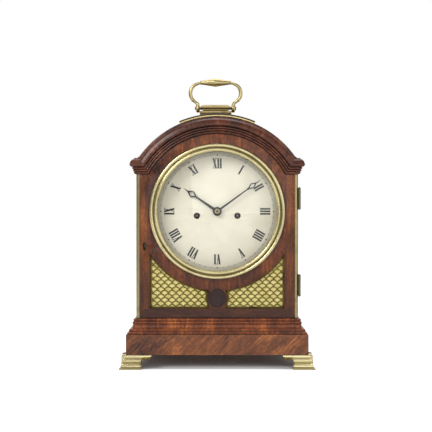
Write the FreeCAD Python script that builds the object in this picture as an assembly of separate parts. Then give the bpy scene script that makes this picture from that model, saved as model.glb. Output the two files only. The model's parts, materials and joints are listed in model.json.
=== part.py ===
"""Bracket clock with an arched top, in millimetres.

+X is to the right of someone facing the dial, +Y goes into the clock and +Z is up. The origin is
the middle of the footprint of the four feet, on the surface that the clock stands on.
"""

import FreeCAD, Part
import math
import os

V = FreeCAD.Vector

# Driving dimensions -------------------------------------------------------------------------
DIAL_Z = 253.5             # height of the hands' arbor; bezel, door top, cornice and roof share it
SIGHT_R = 97.5             # radius of the glass that shows, for a dial of 8 inches
TRUNK_HALF = 132.0         # half the width of the case
PLINTH_HALF = 147.0
FEET_HALF = 157.0
FACE_Y = -76.0             # front face of the door
BACK_Y = 91.0              # back of the case
FOOT_H = 22.5
PLINTH_TOP = 55.0
FLOOR_Z = 79.6             # floor of the case, level with the top of the base moulding
SHOULDER_Z = 314.0         # underside of the straight shoulders of the cornice
ARCH_R = 126.8             # underside of the arched cornice, about the dial's centre
CORNICE_H = 28.5
ROOF_R = 151.5
ROOF_THICK = 8.0
SIDE_THICK = 11.0
DOOR_THICK = 20.0
FIT = 0.6                  # gap round a door
ARCH_PANELS = 16           # flats of the arched boards and of the cornice
BEZEL_PANELS = 32          # flats of the bezel, the glass and the dial

PLINTH_OUT = PLINTH_HALF - TRUNK_HALF
FEET_OUT = FEET_HALF - PLINTH_HALF
PLINTH_FRONT_Y = FACE_Y - PLINTH_OUT
PLINTH_BACK_Y = BACK_Y
DOOR_BACK_Y = FACE_Y + DOOR_THICK
CASE_FRONT_Y = DOOR_BACK_Y + 0.5
SIDE_INNER = TRUNK_HALF - SIDE_THICK
ROOF_INNER_R = ROOF_R - ROOF_THICK
ROOF_EDGE_Z = 341.5        # top of the flat shoulders of the roof
SIDE_TOP_Z = ROOF_EDGE_Z - ROOF_THICK

MIRROR_X = V(1, 0, 0)
ORIGIN = V(0, 0, 0)
DIAL_CENTRE = V(0, 0, DIAL_Z)
TO_BACK = V(0, 1, 0)


# Shapes that everything below is made from ----------------------------------------------------
def box(x0, x1, y0, y1, z0, z1):
    return Part.makeBox(x1 - x0, y1 - y0, z1 - z0, V(x0, y0, z0))


def ring(sides):
    """The angles of the corners of an even polygon."""
    return [2 * math.pi * (k + 0.5) / sides for k in range(sides)]


def polygon(points):
    """A flat face; a point that repeats the one before it is left out."""
    corners = []
    for point in points:
        if all(point.distanceToPoint(other) > 1e-6 for other in corners[-1:] + corners[:1]):
            corners.append(point)
    return Part.Face(Part.makePolygon(corners + corners[:1]))


def rod_x(radius, x0, x1, y, z, sides=8):
    """A rod along X, drawn as an even prism so that small round stock stays light."""
    turns = ring(sides)
    face = polygon([V(x0, y + radius * math.cos(t), z + radius * math.sin(t)) for t in turns])
    return face.extrude(V(x1 - x0, 0, 0))


def rod_y(radius, y0, y1, x=0.0, z=DIAL_Z, sides=8):
    turns = ring(sides)
    face = polygon([V(x + radius * math.cos(t), y0, z + radius * math.sin(t)) for t in turns])
    return face.extrude(V(0, y1 - y0, 0))


def rod_z(radius, z0, z1, x, y, sides=8):
    turns = ring(sides)
    face = polygon([V(x + radius * math.cos(t), y + radius * math.sin(t), z0) for t in turns])
    return face.extrude(V(0, 0, z1 - z0))


def outline(place, start, *steps, chords=3):
    """A closed face. A step is a point for a straight side, or (via, end) for an arc."""
    return polygon([place(*point) for point in chain(start, *steps, chords=chords)])


def on_front(y):
    """Places (x, z) on the upright plane at depth y."""
    return lambda x, z: V(x, y, z)


def on_side(x):
    """Places (y, z) on the upright plane at x."""
    return lambda y, z: V(x, y, z)


def on_plan(z):
    """Places (x, y) on the level plane at height z."""
    return lambda x, y: V(x, y, z)


def arc_chords(start, via, end, count):
    """Points along the arc from start through via to end, in equal chords, without the start."""
    (ax, ay), (bx, by), (cx, cy) = start, via, end
    area = 2 * (ax * (by - cy) + bx * (cy - ay) + cx * (ay - by))
    a2, b2, c2 = ax * ax + ay * ay, bx * bx + by * by, cx * cx + cy * cy
    x = (a2 * (by - cy) + b2 * (cy - ay) + c2 * (ay - by)) / area
    y = (a2 * (cx - bx) + b2 * (ax - cx) + c2 * (bx - ax)) / area
    radius = math.hypot(ax - x, ay - y)
    first = math.atan2(ay - y, ax - x)
    sweep = (math.atan2(cy - y, cx - x) - first) % (2 * math.pi)
    part_way = (math.atan2(by - y, bx - x) - first) % (2 * math.pi)
    if part_way > sweep:
        sweep -= 2 * math.pi
    turns = [first + sweep * (k + 1) / count for k in range(count)]
    return [(x + radius * math.cos(t), y + radius * math.sin(t)) for t in turns]


def chain(start, *steps, chords=3):
    """The same steps as an outline's, as a list of points, each arc in that many chords."""
    points = [start]
    for step in steps:
        if isinstance(step[0], tuple):
            points += arc_chords(points[-1], step[0], step[1], chords)
        else:
            points.append(step)
    return points


def skinned(rings, loop=False):
    """A solid of flat panels between rings of points; loop joins the last ring to the first."""
    count = len(rings[0])
    pairs = list(zip(rings, rings[1:])) + ([(rings[-1], rings[0])] if loop else [])
    faces = []
    for near, far in pairs:
        for k in range(count):
            m = (k + 1) % count
            corners = [near[k], near[m], far[m], far[k]]
            if near[k].distanceToPoint(far[k]) > 1e-6 or near[m].distanceToPoint(far[m]) > 1e-6:
                faces.append(polygon(corners))
    if not loop:
        faces += [polygon(rings[0]), polygon(rings[-1])]
    shell = Part.makeShell(faces)
    shell.sewShape()
    solid = Part.makeSolid(shell)
    if solid.Volume < 0:
        solid.reverse()
    return solid


def turned(place, sides, profile):
    """A body of revolution in flat panels; place(radius, turn, along) gives its points."""
    return skinned([[place(r, turn, along) for r, along in profile] for turn in ring(sides)], loop=True)


def about_y(x, z):
    return lambda r, turn, y: V(x + r * math.cos(turn), y, z + r * math.sin(turn))


def about_z(x, y):
    return lambda r, turn, z: V(x + r * math.cos(turn), y + r * math.sin(turn), z)


def about_x(y, z):
    return lambda r, turn, x: V(x, y + r * math.cos(turn), z + r * math.sin(turn))


def mirrored(shape):
    return shape.mirror(ORIGIN, MIRROR_X)


def group(*shapes):
    """Separate solids that share one node."""
    return Part.makeCompound([solid for shape in shapes for solid in shape.Solids])


def joined(first, *others):
    return first.fuse(list(others)).removeSplitter() if others else first


def half_width_on_arc(radius, z):
    return math.sqrt(radius * radius - (z - DIAL_Z) ** 2)


# Feet, plinth and base moulding ---------------------------------------------------------------
FOOT_WALL = 8.0
FOOT_BODY = 25.5           # length of the foot's block from the plinth's corner
FOOT_WING = 41.5           # and of its wing, along the underside of the plinth


def foot_wing():
    """The front half of the left front foot: an ogee section cut to the bracket's outline."""
    out = PLINTH_FRONT_Y
    corner = -PLINTH_HALF
    section = chain(
        (out + FOOT_WALL, 0), (out + FOOT_WALL, FOOT_H), (out - 2.0, FOOT_H), (out - 2.5, 19.0),
        ((out - 3.4, 13.0), (out - 7.2, 8.4)),
        ((out - 9.4, 6.9), (out - FEET_OUT, 4.5)),
        (out - FEET_OUT, 0),
    )
    run = polygon([V(-FEET_HALF, y, z) for y, z in section]).extrude(V(FEET_OUT + FOOT_WING, 0, 0))
    edge = chain(
        (-FEET_HALF, 0), (corner + FOOT_BODY, 0), (corner + FOOT_BODY, 6.5),
        ((corner + 27.5, 12.5), (corner + 33.0, 14.0)),
        ((corner + 36.5, 14.6), (corner + FOOT_WING, 19.0)),
        (corner + FOOT_WING, FOOT_H), (-FEET_HALF, FOOT_H), chords=2,
    )
    bracket = polygon([V(x, out - FEET_OUT, z) for x, z in edge]).extrude(V(0, FEET_OUT + FOOT_WALL, 0))
    far = FEET_OUT + FOOT_WING
    near_y = out - FEET_OUT
    mitre = outline(
        on_plan(0), (-FEET_HALF, near_y), (-FEET_HALF + far, near_y), (-FEET_HALF + far, near_y + far)
    ).extrude(V(0, 0, FOOT_H))
    return run.common(bracket).common(mitre)


def feet():
    wing = foot_wing()
    corner = V(-FEET_HALF, PLINTH_FRONT_Y - FEET_OUT, 0)
    other_wing = wing.mirror(corner, V(1, -1, 0))
    front_left = joined(wing, other_wing)
    back_left = front_left.mirror(ORIGIN, V(0, 1, 0))
    return {
        "foot_front_left": front_left,
        "foot_front_right": mirrored(front_left),
        "foot_back_left": back_left,
        "foot_back_right": mirrored(back_left),
    }


def plinth():
    wall = 12.0
    outer = box(-PLINTH_HALF, PLINTH_HALF, PLINTH_FRONT_Y, PLINTH_BACK_Y, FOOT_H, PLINTH_TOP)
    inner = box(
        -PLINTH_HALF + wall, PLINTH_HALF - wall,
        PLINTH_FRONT_Y + wall, PLINTH_BACK_Y - wall, FOOT_H, PLINTH_TOP,
    )
    return outer.cut(inner)


LAP = 1.0                  # how far the base moulding runs in under the line of the case


def base_board():
    """The oak board that the case stands on; the pendulum swings above it."""
    return box(
        -TRUNK_HALF + LAP, TRUNK_HALF - LAP, FACE_Y + LAP, BACK_Y, PLINTH_TOP, FLOOR_Z
    )


def base_profile():
    """The base moulding, as (distance out from the case, height): fillet, cove and bead."""
    top = FLOOR_Z
    return chain(
        (-LAP, PLINTH_TOP), (12.8, PLINTH_TOP), (12.8, 61.0),
        ((8.9, 64.8), (7.4, 70.4)),
        (6.0, 70.9),
        ((7.1, 75.4), (2.8, 78.6)),
        (2.8, top), (-LAP, top),
        chords=4,
    )


MITRE_REACH = 20.0         # beyond the widest moulding


def front_mitre(inset, back_y, z0, z1):
    """The room of a front moulding: out to 45 degree mitres, and in to back_y between the sides."""
    x, y = TRUNK_HALF - inset, FACE_Y + inset
    return outline(
        on_plan(z0),
        (-x, y), (-x - MITRE_REACH, y - MITRE_REACH), (x + MITRE_REACH, y - MITRE_REACH),
        (x, y), (x, back_y), (-x, back_y),
    ).extrude(V(0, 0, z1 - z0))


def left_mitre(inset, z0, z1):
    """The room of the moulding on the left side, behind the same mitre."""
    x, y = -TRUNK_HALF + inset, FACE_Y + inset
    return outline(
        on_plan(z0),
        (x, y), (x - MITRE_REACH, y - MITRE_REACH), (x - MITRE_REACH, BACK_Y), (x, BACK_Y),
    ).extrude(V(0, 0, z1 - z0))


def base_moulding():
    long_way = 2 * (TRUNK_HALF + MITRE_REACH)
    front = polygon([V(-long_way / 2, FACE_Y - p, z) for p, z in base_profile()])
    front = front.extrude(V(long_way, 0, 0))
    side = polygon([V(-TRUNK_HALF - p, FACE_Y - MITRE_REACH, z) for p, z in base_profile()])
    side = side.extrude(V(0, BACK_Y - FACE_Y + MITRE_REACH, 0))
    front = front.common(front_mitre(LAP, FACE_Y + 2 * LAP, PLINTH_TOP, FLOOR_Z))
    side = side.common(left_mitre(LAP, PLINTH_TOP, FLOOR_Z))
    return group(front, side, mirrored(side))


# Carcase --------------------------------------------------------------------------------------
SIDE_FRET_HALF = 32.0      # the sound opening in each side: half width, middle, foot and head
SIDE_FRET_Y = 12.0
SIDE_FRET_Z0 = 186.0
SIDE_FRET_Z1 = 286.0
REBATE = 2.5               # how far a fret laps behind the edge of its opening

BOLT_Z = 196.3             # middle of the lock's bolt


def side_opening(x, grow):
    """The sound opening of a side, as a face at x, grown all round."""
    y0, y1 = SIDE_FRET_Y - SIDE_FRET_HALF - grow, SIDE_FRET_Y + SIDE_FRET_HALF + grow
    z0, z1 = SIDE_FRET_Z0 - grow, SIDE_FRET_Z1 + grow
    return polygon([V(x, y0, z0), V(x, y1, z0), V(x, y1, z1), V(x, y0, z1)])


def left_side():
    """Side board with its sound opening, rebated inside for the fret."""
    board = box(-TRUNK_HALF, -SIDE_INNER, CASE_FRONT_Y, BACK_Y, FLOOR_Z, SIDE_TOP_Z)
    through = side_opening(-TRUNK_HALF, 0).extrude(V(SIDE_THICK, 0, 0))
    seat = side_opening(-SIDE_INNER - FRET_SEAT, REBATE).extrude(V(FRET_SEAT, 0, 0))
    return board.cut(through).cut(seat)


def arched_room(y, sill_z, radius):
    """The inside outline of the case above sill_z, as a face at depth y."""
    x = half_width_on_arc(radius, SIDE_TOP_Z)
    return outline(
        on_front(y),
        (-SIDE_INNER, sill_z), (SIDE_INNER, sill_z), (SIDE_INNER, SIDE_TOP_Z), (x, SIDE_TOP_Z),
        ((0, DIAL_Z + radius), (-x, SIDE_TOP_Z)),
        (-SIDE_INNER, SIDE_TOP_Z),
        chords=ARCH_PANELS,
    )


def roof():
    """The curved top board, with the flat shoulders that lie on the sides."""
    x_out = half_width_on_arc(ROOF_R, ROOF_EDGE_Z)
    x_in = half_width_on_arc(ROOF_INNER_R, SIDE_TOP_Z)
    return outline(
        on_front(CASE_FRONT_Y),
        (-TRUNK_HALF, SIDE_TOP_Z), (-TRUNK_HALF, ROOF_EDGE_Z), (-x_out, ROOF_EDGE_Z),
        ((0, DIAL_Z + ROOF_R), (x_out, ROOF_EDGE_Z)),
        (TRUNK_HALF, ROOF_EDGE_Z), (TRUNK_HALF, SIDE_TOP_Z), (x_in, SIDE_TOP_Z),
        ((0, DIAL_Z + ROOF_INNER_R), (-x_in, SIDE_TOP_Z)),
        chords=ARCH_PANELS,
    ).extrude(V(0, BACK_Y - CASE_FRONT_Y, 0))


MASK_BACK_Y = -49.5
DIAL_R = 101.5


FILLET_X = -106.4          # joint between the mask and the fillet down its left side
HOOK_ROOM = 9.0
JOINT = 0.05


def dial_mask():
    """The board that closes the front behind the door, bored for the dial.

    A fillet down its left side stops below and above the hook of the door's bolt.
    """
    board = arched_room(CASE_FRONT_Y, FLOOR_Z, ROOF_INNER_R).extrude(V(0, MASK_BACK_Y - CASE_FRONT_Y, 0))
    bore = rod_y(DIAL_R + 0.5, CASE_FRONT_Y, MASK_BACK_Y, sides=BEZEL_PANELS)
    strip = box(-TRUNK_HALF, FILLET_X, CASE_FRONT_Y, MASK_BACK_Y, FLOOR_Z, DIAL_Z + ROOF_INNER_R)
    hook_room = box(-TRUNK_HALF, FILLET_X, CASE_FRONT_Y, MASK_BACK_Y, BOLT_Z - HOOK_ROOM, BOLT_Z + HOOK_ROOM)
    joint = box(FILLET_X, FILLET_X + JOINT, CASE_FRONT_Y, MASK_BACK_Y, FLOOR_Z, DIAL_Z + ROOF_INNER_R)
    return group(board.cut(bore).cut(strip).cut(joint), board.common(strip).cut(hook_room))


REAR_OPEN_HALF = 92.0
REAR_OPEN_Z0 = 97.0
REAR_SPRING_Z = 298.0
REAR_CROWN_Z = 352.0
REAR_THICK = 12.0


def rear_opening(y, shrink):
    """The arched opening of the back, as a face at depth y, made smaller all round."""
    half = REAR_OPEN_HALF - shrink
    return outline(
        on_front(y),
        (-half, REAR_OPEN_Z0 + shrink), (half, REAR_OPEN_Z0 + shrink), (half, REAR_SPRING_Z),
        ((0, REAR_CROWN_Z - shrink), (-half, REAR_SPRING_Z)),
        chords=10,
    )


def back_frame():
    board = arched_room(BACK_Y - REAR_THICK, FLOOR_Z, ROOF_INNER_R).extrude(V(0, REAR_THICK, 0))
    return board.cut(rear_opening(BACK_Y - REAR_THICK, 0).extrude(V(0, REAR_THICK, 0)))


# Cornice --------------------------------------------------------------------------------------
def cornice_profile(inner):
    """The cornice, as (height, distance out from the face): cove, fillet, nosing and weathering."""
    return chain(
        (0, inner), (0, 1.0), ((1.2, 3.4), (4.0, 4.6)), (8.4, 5.6),
        ((11.0, 6.4), (12.6, 8.4)),
        ((15.6, 9.4), (18.2, 8.2)),
        (18.6, 6.2), (22.2, 5.4), (25.0, 3.4), (26.6, -2.4), (CORNICE_H, inner),
        chords=2,
    )


def cornice_front():
    """The arch and its two shoulders, cut to each other along sloping mitres."""
    inner = FACE_Y - CASE_FRONT_Y
    top = SHOULDER_Z + CORNICE_H
    low = (half_width_on_arc(ARCH_R, SHOULDER_Z), SHOULDER_Z)
    high = (half_width_on_arc(ARCH_R + CORNICE_H, top), top)
    place = about_y(0, DIAL_Z)
    turns = [math.radians(22 + 136 * k / ARCH_PANELS) for k in range(ARCH_PANELS + 1)]
    arch = skinned([[place(ARCH_R + h, t, FACE_Y - p) for h, p in cornice_profile(inner)] for t in turns])
    depth = V(0, 60, 0)
    above = outline(
        on_front(FACE_Y - MITRE_REACH),
        low, high, (high[0], 460), (-high[0], 460), (-high[0], high[1]), (-low[0], low[1]),
    ).extrude(depth)
    arch = arch.common(above)
    reach = TRUNK_HALF + MITRE_REACH
    straight = polygon([V(low[0], FACE_Y - p, SHOULDER_Z + h) for h, p in cornice_profile(inner)])
    straight = straight.extrude(V(reach - low[0], 0, 0))
    beside = outline(
        on_front(FACE_Y - MITRE_REACH), low, high, (reach, high[1]), (reach, low[1])
    ).extrude(depth)
    shoulder = straight.common(beside)
    shoulder = shoulder.common(front_mitre(0, CASE_FRONT_Y, SHOULDER_Z, top))
    return group(arch, shoulder, mirrored(shoulder))


def cornice_returns():
    """The same moulding along the two sides."""
    section = cornice_profile(-3.4)
    run = polygon([V(-TRUNK_HALF - p, FACE_Y - MITRE_REACH, SHOULDER_Z + h) for h, p in section])
    run = run.extrude(V(0, BACK_Y - FACE_Y + MITRE_REACH, 0))
    run = run.common(left_mitre(0, SHOULDER_Z, SHOULDER_Z + CORNICE_H))
    return group(run, mirrored(run))


# Pad and carrying handle ----------------------------------------------------------------------
PAD_R = 161.0
PAD_HALF_ANGLE = 22.5
PAD_FRONT_Y = -46.0
PAD_BACK_Y = 66.0
PAD_PANELS = 7
PAD_COVE = 6.0             # how far the brass edging spreads at its foot
HANDLE_Y = 10.0
PIVOT_Z = 431.7
PIVOT_R = 2.2
PIVOT_HEAD_X = 36.6        # inner face of the pin's head, outside the handle's eye
BAIL_THICK = 5.6


def ring_sector(r0, r1, half_angle, y0, y1):
    """A slab curved about the dial's axis."""
    s, c = math.sin(math.radians(half_angle)), math.cos(math.radians(half_angle))
    return outline(
        on_front(y0),
        (-r0 * s, DIAL_Z + r0 * c), ((0, DIAL_Z + r0), (r0 * s, DIAL_Z + r0 * c)),
        (r1 * s, DIAL_Z + r1 * c), ((0, DIAL_Z + r1), (-r1 * s, DIAL_Z + r1 * c)),
        chords=PAD_PANELS,
    ).extrude(V(0, y1 - y0, 0))


PAD_SINK = 1.0             # how far the pad is carried down before the roof is cut out of it


def roof_pad():
    pad = ring_sector(ROOF_R - PAD_SINK, PAD_R - 0.8, PAD_HALF_ANGLE, PAD_FRONT_Y, PAD_BACK_Y)
    return pad.cut(roof())


def cove_section():
    """The pad's edging, as (distance out, height above the roof): a hollow under a thin lip."""
    high = PAD_R - ROOF_R
    return chain(
        (0, -PAD_SINK), (PAD_COVE, -PAD_SINK), (PAD_COVE, 1.2), (3.4, 2.6), (1.2, high - 1.4),
        (2.0, high - 1.2), (2.0, high), (0, high),
    )


def pad_edging():
    """Brass hollow moulding round the pad, mitred at its corners."""
    angle = PAD_HALF_ANGLE
    wide = angle + math.degrees(PAD_COVE / ROOF_R)
    place = about_y(0, DIAL_Z)
    turns = [math.radians(90 - wide + 2 * wide * k / PAD_PANELS) for k in range(PAD_PANELS + 1)]
    front = skinned([[place(ROOF_R + h, t, PAD_FRONT_Y - p) for p, h in cove_section()] for t in turns])
    middle = V(0, (PAD_FRONT_Y + PAD_BACK_Y) / 2, 0)
    back = front.mirror(middle, TO_BACK)
    side = polygon([V(p, PAD_FRONT_Y - PAD_COVE, DIAL_Z + ROOF_R + h) for p, h in cove_section()])
    right = side.extrude(V(0, PAD_BACK_Y - PAD_FRONT_Y + 2 * PAD_COVE, 0))
    right.rotate(DIAL_CENTRE, TO_BACK, angle)
    left = mirrored(right)
    # Between the corners each run stands alone; a corner keeps what both runs hold, their mitre.
    ends = ring_sector(ROOF_R - 3, PAD_R + 3, angle, PAD_FRONT_Y - PAD_COVE, PAD_FRONT_Y)
    sides = ring_sector(ROOF_R - 9, PAD_R + 9, 45, PAD_FRONT_Y, PAD_BACK_Y)
    parts = [front.common(ends), back.common(ends.mirror(middle, TO_BACK))]
    parts += [left.common(sides), right.common(sides)]
    parts += [run.common(turn) for run in (front, back) for turn in (left, right)]
    return joined(*parts).cut(roof())


def handle_base():
    """Brass cushion with the handle's two pivot pins; its foot follows the pad's curve."""
    def cushion(half):
        return chain(
            (-half, 404), (-half, 424.6), (-half + 1.2, 425.8),
            ((-half + 4.6, 427.4), (-half + 5.2, 431.0)),
            (-half + 2.2, 431.6), (-half + 2.2, 434.0),
            ((0, 438.6), (half - 2.2, 434.0)),
            (half - 2.2, 431.6), (half - 5.2, 431.0),
            ((half - 4.6, 427.4), (half - 1.2, 425.8)),
            (half, 424.6), (half, 404),
        )
    half_x, half_y = 30.6, 15.0
    front_y = HANDLE_Y - half_y
    along = polygon([V(x, front_y, z) for x, z in cushion(half_x)]).extrude(V(0, 2 * half_y, 0))
    across = polygon([V(-half_x, HANDLE_Y + y, z) for y, z in cushion(half_y)]).extrude(V(2 * half_x, 0, 0))
    pad = Part.makeCylinder(PAD_R, 2 * half_y, V(0, front_y, DIAL_Z), TO_BACK)
    block = along.common(across).cut(pad)
    shank = rod_x(PIVOT_R, half_x - 6, PIVOT_HEAD_X, HANDLE_Y, PIVOT_Z)
    head = rod_x(3.6, PIVOT_HEAD_X, PIVOT_HEAD_X + 1.4, HANDLE_Y, PIVOT_Z)
    return joined(block, shank, mirrored(shank), head, mirrored(head))


def bail_route():
    """Centre line of the bail from its right eye up to the grip, as (x, z)."""
    return [
        (33.4, PIVOT_Z), (33.6, 438.2), (40.2, 444.9), (45.1, 455.8),
        (43.6, 465.8), (36.1, 472.0), (24.0, 475.6),
    ]


BAIL_PANELS = 8
GRIP_Z = 475.8


def mitred_bar(points, first_ring):
    """A bar carried along straight runs from its first ring of corners, mitred at every turn."""
    runs = [(b - a).normalize() for a, b in zip(points, points[1:])]
    rings = [first_ring]
    for k, run in enumerate(runs):
        following = runs[min(k + 1, len(runs) - 1)]
        cut = (run + following).normalize()
        rings.append([p + run * ((points[k + 1] - p).dot(cut) / run.dot(cut)) for p in rings[-1]])
    return skinned(rings)


def bail_arm():
    """One curved arm: an eight-sided bar along the smooth curve through the route."""
    curve = Part.BSplineCurve()
    curve.interpolate(
        [V(x, HANDLE_Y, z) for x, z in bail_route()],
        InitialTangent=V(0, 0, 1), FinalTangent=V(-1, 0, 0.05),
    )
    points = curve.discretize(BAIL_PANELS + 1)
    along = (points[1] - points[0]).normalize()
    across = along.cross(TO_BACK)
    radius = BAIL_THICK / 2
    corners = [
        points[0] + across * (radius * math.cos(t)) + TO_BACK * (radius * math.sin(t)) for t in ring(8)
    ]
    return mitred_bar(points, corners)


def carrying_handle():
    """Swan-necked bail: two eyes, two curved arms and a turned grip between them."""
    right = bail_arm().fuse(rod_x(4.6, 31.0, 36.2, HANDLE_Y, PIVOT_Z, 10))
    profile = chain(
        (0, -26.5), (3.4, -26.5), (4.3, -24.6), (3.5, -23.0), ((6.2, -12.0), (7.6, 0)),
        ((6.2, 12.0), (3.5, 23.0)), (4.3, 24.6), (3.4, 26.5), (0, 26.5),
        chords=2,
    )
    grip = turned(about_x(HANDLE_Y, GRIP_Z), 10, profile)
    bores = rod_x(2.6, -38, 38, HANDLE_Y, PIVOT_Z)
    return grip.fuse([right, mirrored(right)]).cut(bores)


# Front door -----------------------------------------------------------------------------------
DOOR_Z0 = FLOOR_Z + FIT
DOOR_SHOULDER_Z = SHOULDER_Z - FIT
DOOR_R = ARCH_R - FIT
BEZEL_R = 110.5
BEZEL_HOLE_R = 100.0
STRIP_R = 5.5              # quarter-round brass on the door's two upright edges
FRET_ARC_R = 129.0
FRET_X1 = 109.2
FRET_X0 = 14.0
FRET_Z0 = 95.6
ROUNDEL_Z = 112.6
ROUNDEL_BITE_R = 16.7
FRET_SEAT = 4.0            # depth of the rebate behind a fret
FRET_THICK = 1.5
SCALE_PITCH = 12.2         # fish-scale piercing: spacing along a row; rows lie 0.47 of it apart
SCALE_ROW = 0.471
STRAP = 1.7                # brass left between two scales
FRET_BORDER = 3.6
LEAST_SCALE = 0.42         # share of a scale below which the border stays solid
SIDE_SCALE = 2.5           # the side frets' scales, against the door's


def fret_opening(y, grow):
    """The left spandrel opening of the door, as a face at depth y, grown all round."""
    x1, x0, z0 = FRET_X1 + grow, FRET_X0 - grow, FRET_Z0 - grow
    arc, bite = FRET_ARC_R - grow, ROUNDEL_BITE_R - grow
    lift = math.sqrt(max(bite * bite - x0 * x0, 0.0))
    outer_top = DIAL_Z - math.sqrt(arc * arc - x1 * x1)
    inner_top = DIAL_Z - math.sqrt(arc * arc - x0 * x0)
    middle = math.radians(225 + 20)
    via = (arc * math.cos(middle), DIAL_Z + arc * math.sin(middle))
    steps = [(-x0, z0)]
    if lift > 0.5:
        steps += [(-x0, ROUNDEL_Z - lift), ((-bite, ROUNDEL_Z), (-x0, ROUNDEL_Z + lift))]
    steps += [(-x0, inner_top), (via, (-x1, outer_top))]
    return outline(on_front(y), (-x1, z0), *steps, chords=5)


def scale_hole(place, x, z, pitch):
    """One fish scale: a round back, in three chords, over two sides that meet in a point."""
    radius = pitch / 2
    row = pitch * SCALE_ROW
    strap = STRAP * pitch / SCALE_PITCH
    top_r, low_r = radius - strap / 2, radius + strap / 2
    foot_z = math.sqrt(low_r * low_r - radius * radius) - row
    # The corner lies on the scale's own circle and on the circle of the scale below it.
    span = math.hypot(radius, row)
    along = (top_r * top_r - low_r * low_r + span * span) / (2 * span)
    off = math.sqrt(top_r * top_r - along * along)
    corner = ((along * radius + off * row) / span, (-along * row + off * radius) / span)
    back = math.atan2(corner[1], corner[0]) / 3 + math.pi / 3
    back_at = (top_r * math.cos(back), top_r * math.sin(back))
    right = [corner, back_at]
    left = [(-u, w) for u, w in reversed(right)]
    points = [(0, foot_z)] + right + left
    return polygon([place(x + u, z + w) for u, w in points])


def pierced(plate, room, place, x0, x1, z0, z1, pitch):
    """The plate face with every scale cut out that has enough of itself in the room."""
    row = pitch * SCALE_ROW
    holes = []
    for j in range(int((z1 - z0) / row) + 2):
        shift = pitch / 2 if j % 2 else 0.0
        for i in range(int((x1 - x0) / pitch) + 2):
            hole = scale_hole(place, x0 + i * pitch + shift, z0 + j * row, pitch)
            kept = hole.common(room)
            if kept.Area > LEAST_SCALE * hole.Area:
                holes += kept.Faces
    return plate.cut(Part.makeCompound(holes)).Faces[0]


def door_outline(y):
    x = half_width_on_arc(DOOR_R, DOOR_SHOULDER_Z)
    return outline(
        on_front(y),
        (-TRUNK_HALF, DOOR_Z0), (TRUNK_HALF, DOOR_Z0), (TRUNK_HALF, DOOR_SHOULDER_Z), (x, DOOR_SHOULDER_Z),
        ((0, DIAL_Z + DOOR_R), (-x, DOOR_SHOULDER_Z)),
        (-TRUNK_HALF, DOOR_SHOULDER_Z),
        chords=ARCH_PANELS,
    )


KEYHOLE_X = -118.1
LOCK_X = (-129.0, -101.0)
LOCK_Z = (178.0, 215.0)
LOCK_THICK = 8.0


def keyhole(y, depth, grow):
    """Round hole with a tapering slot below it."""
    hole = rod_y(2.6 + grow, y, y + depth, KEYHOLE_X, BOLT_Z + 2.4)
    half = 1.4 + grow
    slot = box(KEYHOLE_X - half, KEYHOLE_X + half, y, y + depth, BOLT_Z - 5.4 - grow, BOLT_Z + 2.4)
    return hole.fuse(slot).removeSplitter()


def door_frame():
    """Mahogany door: round hole for the bezel, two spandrel openings, rebates and lock recess."""
    board = door_outline(FACE_Y).extrude(V(0, DOOR_THICK, 0))
    board = board.cut(rod_y(BEZEL_HOLE_R, FACE_Y, DOOR_BACK_Y, sides=BEZEL_PANELS))
    edge = box(-TRUNK_HALF, -TRUNK_HALF + STRIP_R, FACE_Y, FACE_Y + STRIP_R, DOOR_Z0, DOOR_SHOULDER_Z)
    opening = fret_opening(FACE_Y, 0).extrude(V(0, DOOR_THICK, 0))
    seat = fret_opening(FACE_Y + FRET_SEAT, REBATE).extrude(V(0, DOOR_THICK - FRET_SEAT, 0))
    for cutter in (edge, opening, seat):
        board = board.cut(cutter).cut(mirrored(cutter))
    lock_room = box(LOCK_X[0], LOCK_X[1], DOOR_BACK_Y - LOCK_THICK, DOOR_BACK_Y, LOCK_Z[0], LOCK_Z[1])
    return board.cut(lock_room).cut(keyhole(FACE_Y, DOOR_THICK, 0.9))


def door_strips():
    """Quarter-round brass strips down the two upright edges of the door."""
    x, y = -TRUNK_HALF + STRIP_R, FACE_Y + STRIP_R
    diagonal = STRIP_R * math.sqrt(0.5)
    strip = outline(
        on_plan(DOOR_Z0), (x, y), (x, FACE_Y), ((x - diagonal, y - diagonal), (-TRUNK_HALF, y))
    ).extrude(V(0, 0, DOOR_SHOULDER_Z - DOOR_Z0))
    return group(strip, mirrored(strip))


def door_roundel():
    """Turned boss between the two frets."""
    y = FACE_Y
    profile = [(0, y), (0, y - 2.6), (7.5, y - 2.3), (12.6, y - 1.0), (15.2, y - 1.0), (15.2, y)]
    return turned(about_y(0, ROUNDEL_Z), 20, profile)


def bezel():
    """Turned brass ring: a sleeve in the door, an inner ring, a groove and an outer torus."""
    y = FACE_Y
    sleeve = BEZEL_HOLE_R - 0.3
    profile = chain(
        (SIGHT_R, y + 8), (SIGHT_R, y - 5.0), ((100.1, y - 6.8), (102.6, y - 4.2)), (103.6, y - 3.0),
        ((107.2, y - 6.0), (BEZEL_R, y - 1.6)),
        (BEZEL_R, y), (sleeve, y), (sleeve, y + 8),
        chords=2,
    )
    return turned(about_y(0, DIAL_Z), BEZEL_PANELS, profile)


GLASS_SEAT_Y = FACE_Y + 1.0
GLASS_RISE = 7.0
GLASS_THICK = 2.0


def dial_glass():
    """Convex glass, sprung into the bezel's sleeve."""
    r = SIGHT_R - 0.2
    y = GLASS_SEAT_Y
    front = [(0, y - GLASS_RISE), (r / 2, y - 0.75 * GLASS_RISE), (r, y)]
    back = [(radius, depth + GLASS_THICK) for radius, depth in reversed(front)]
    return turned(about_y(0, DIAL_Z), BEZEL_PANELS, front + back)


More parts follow.
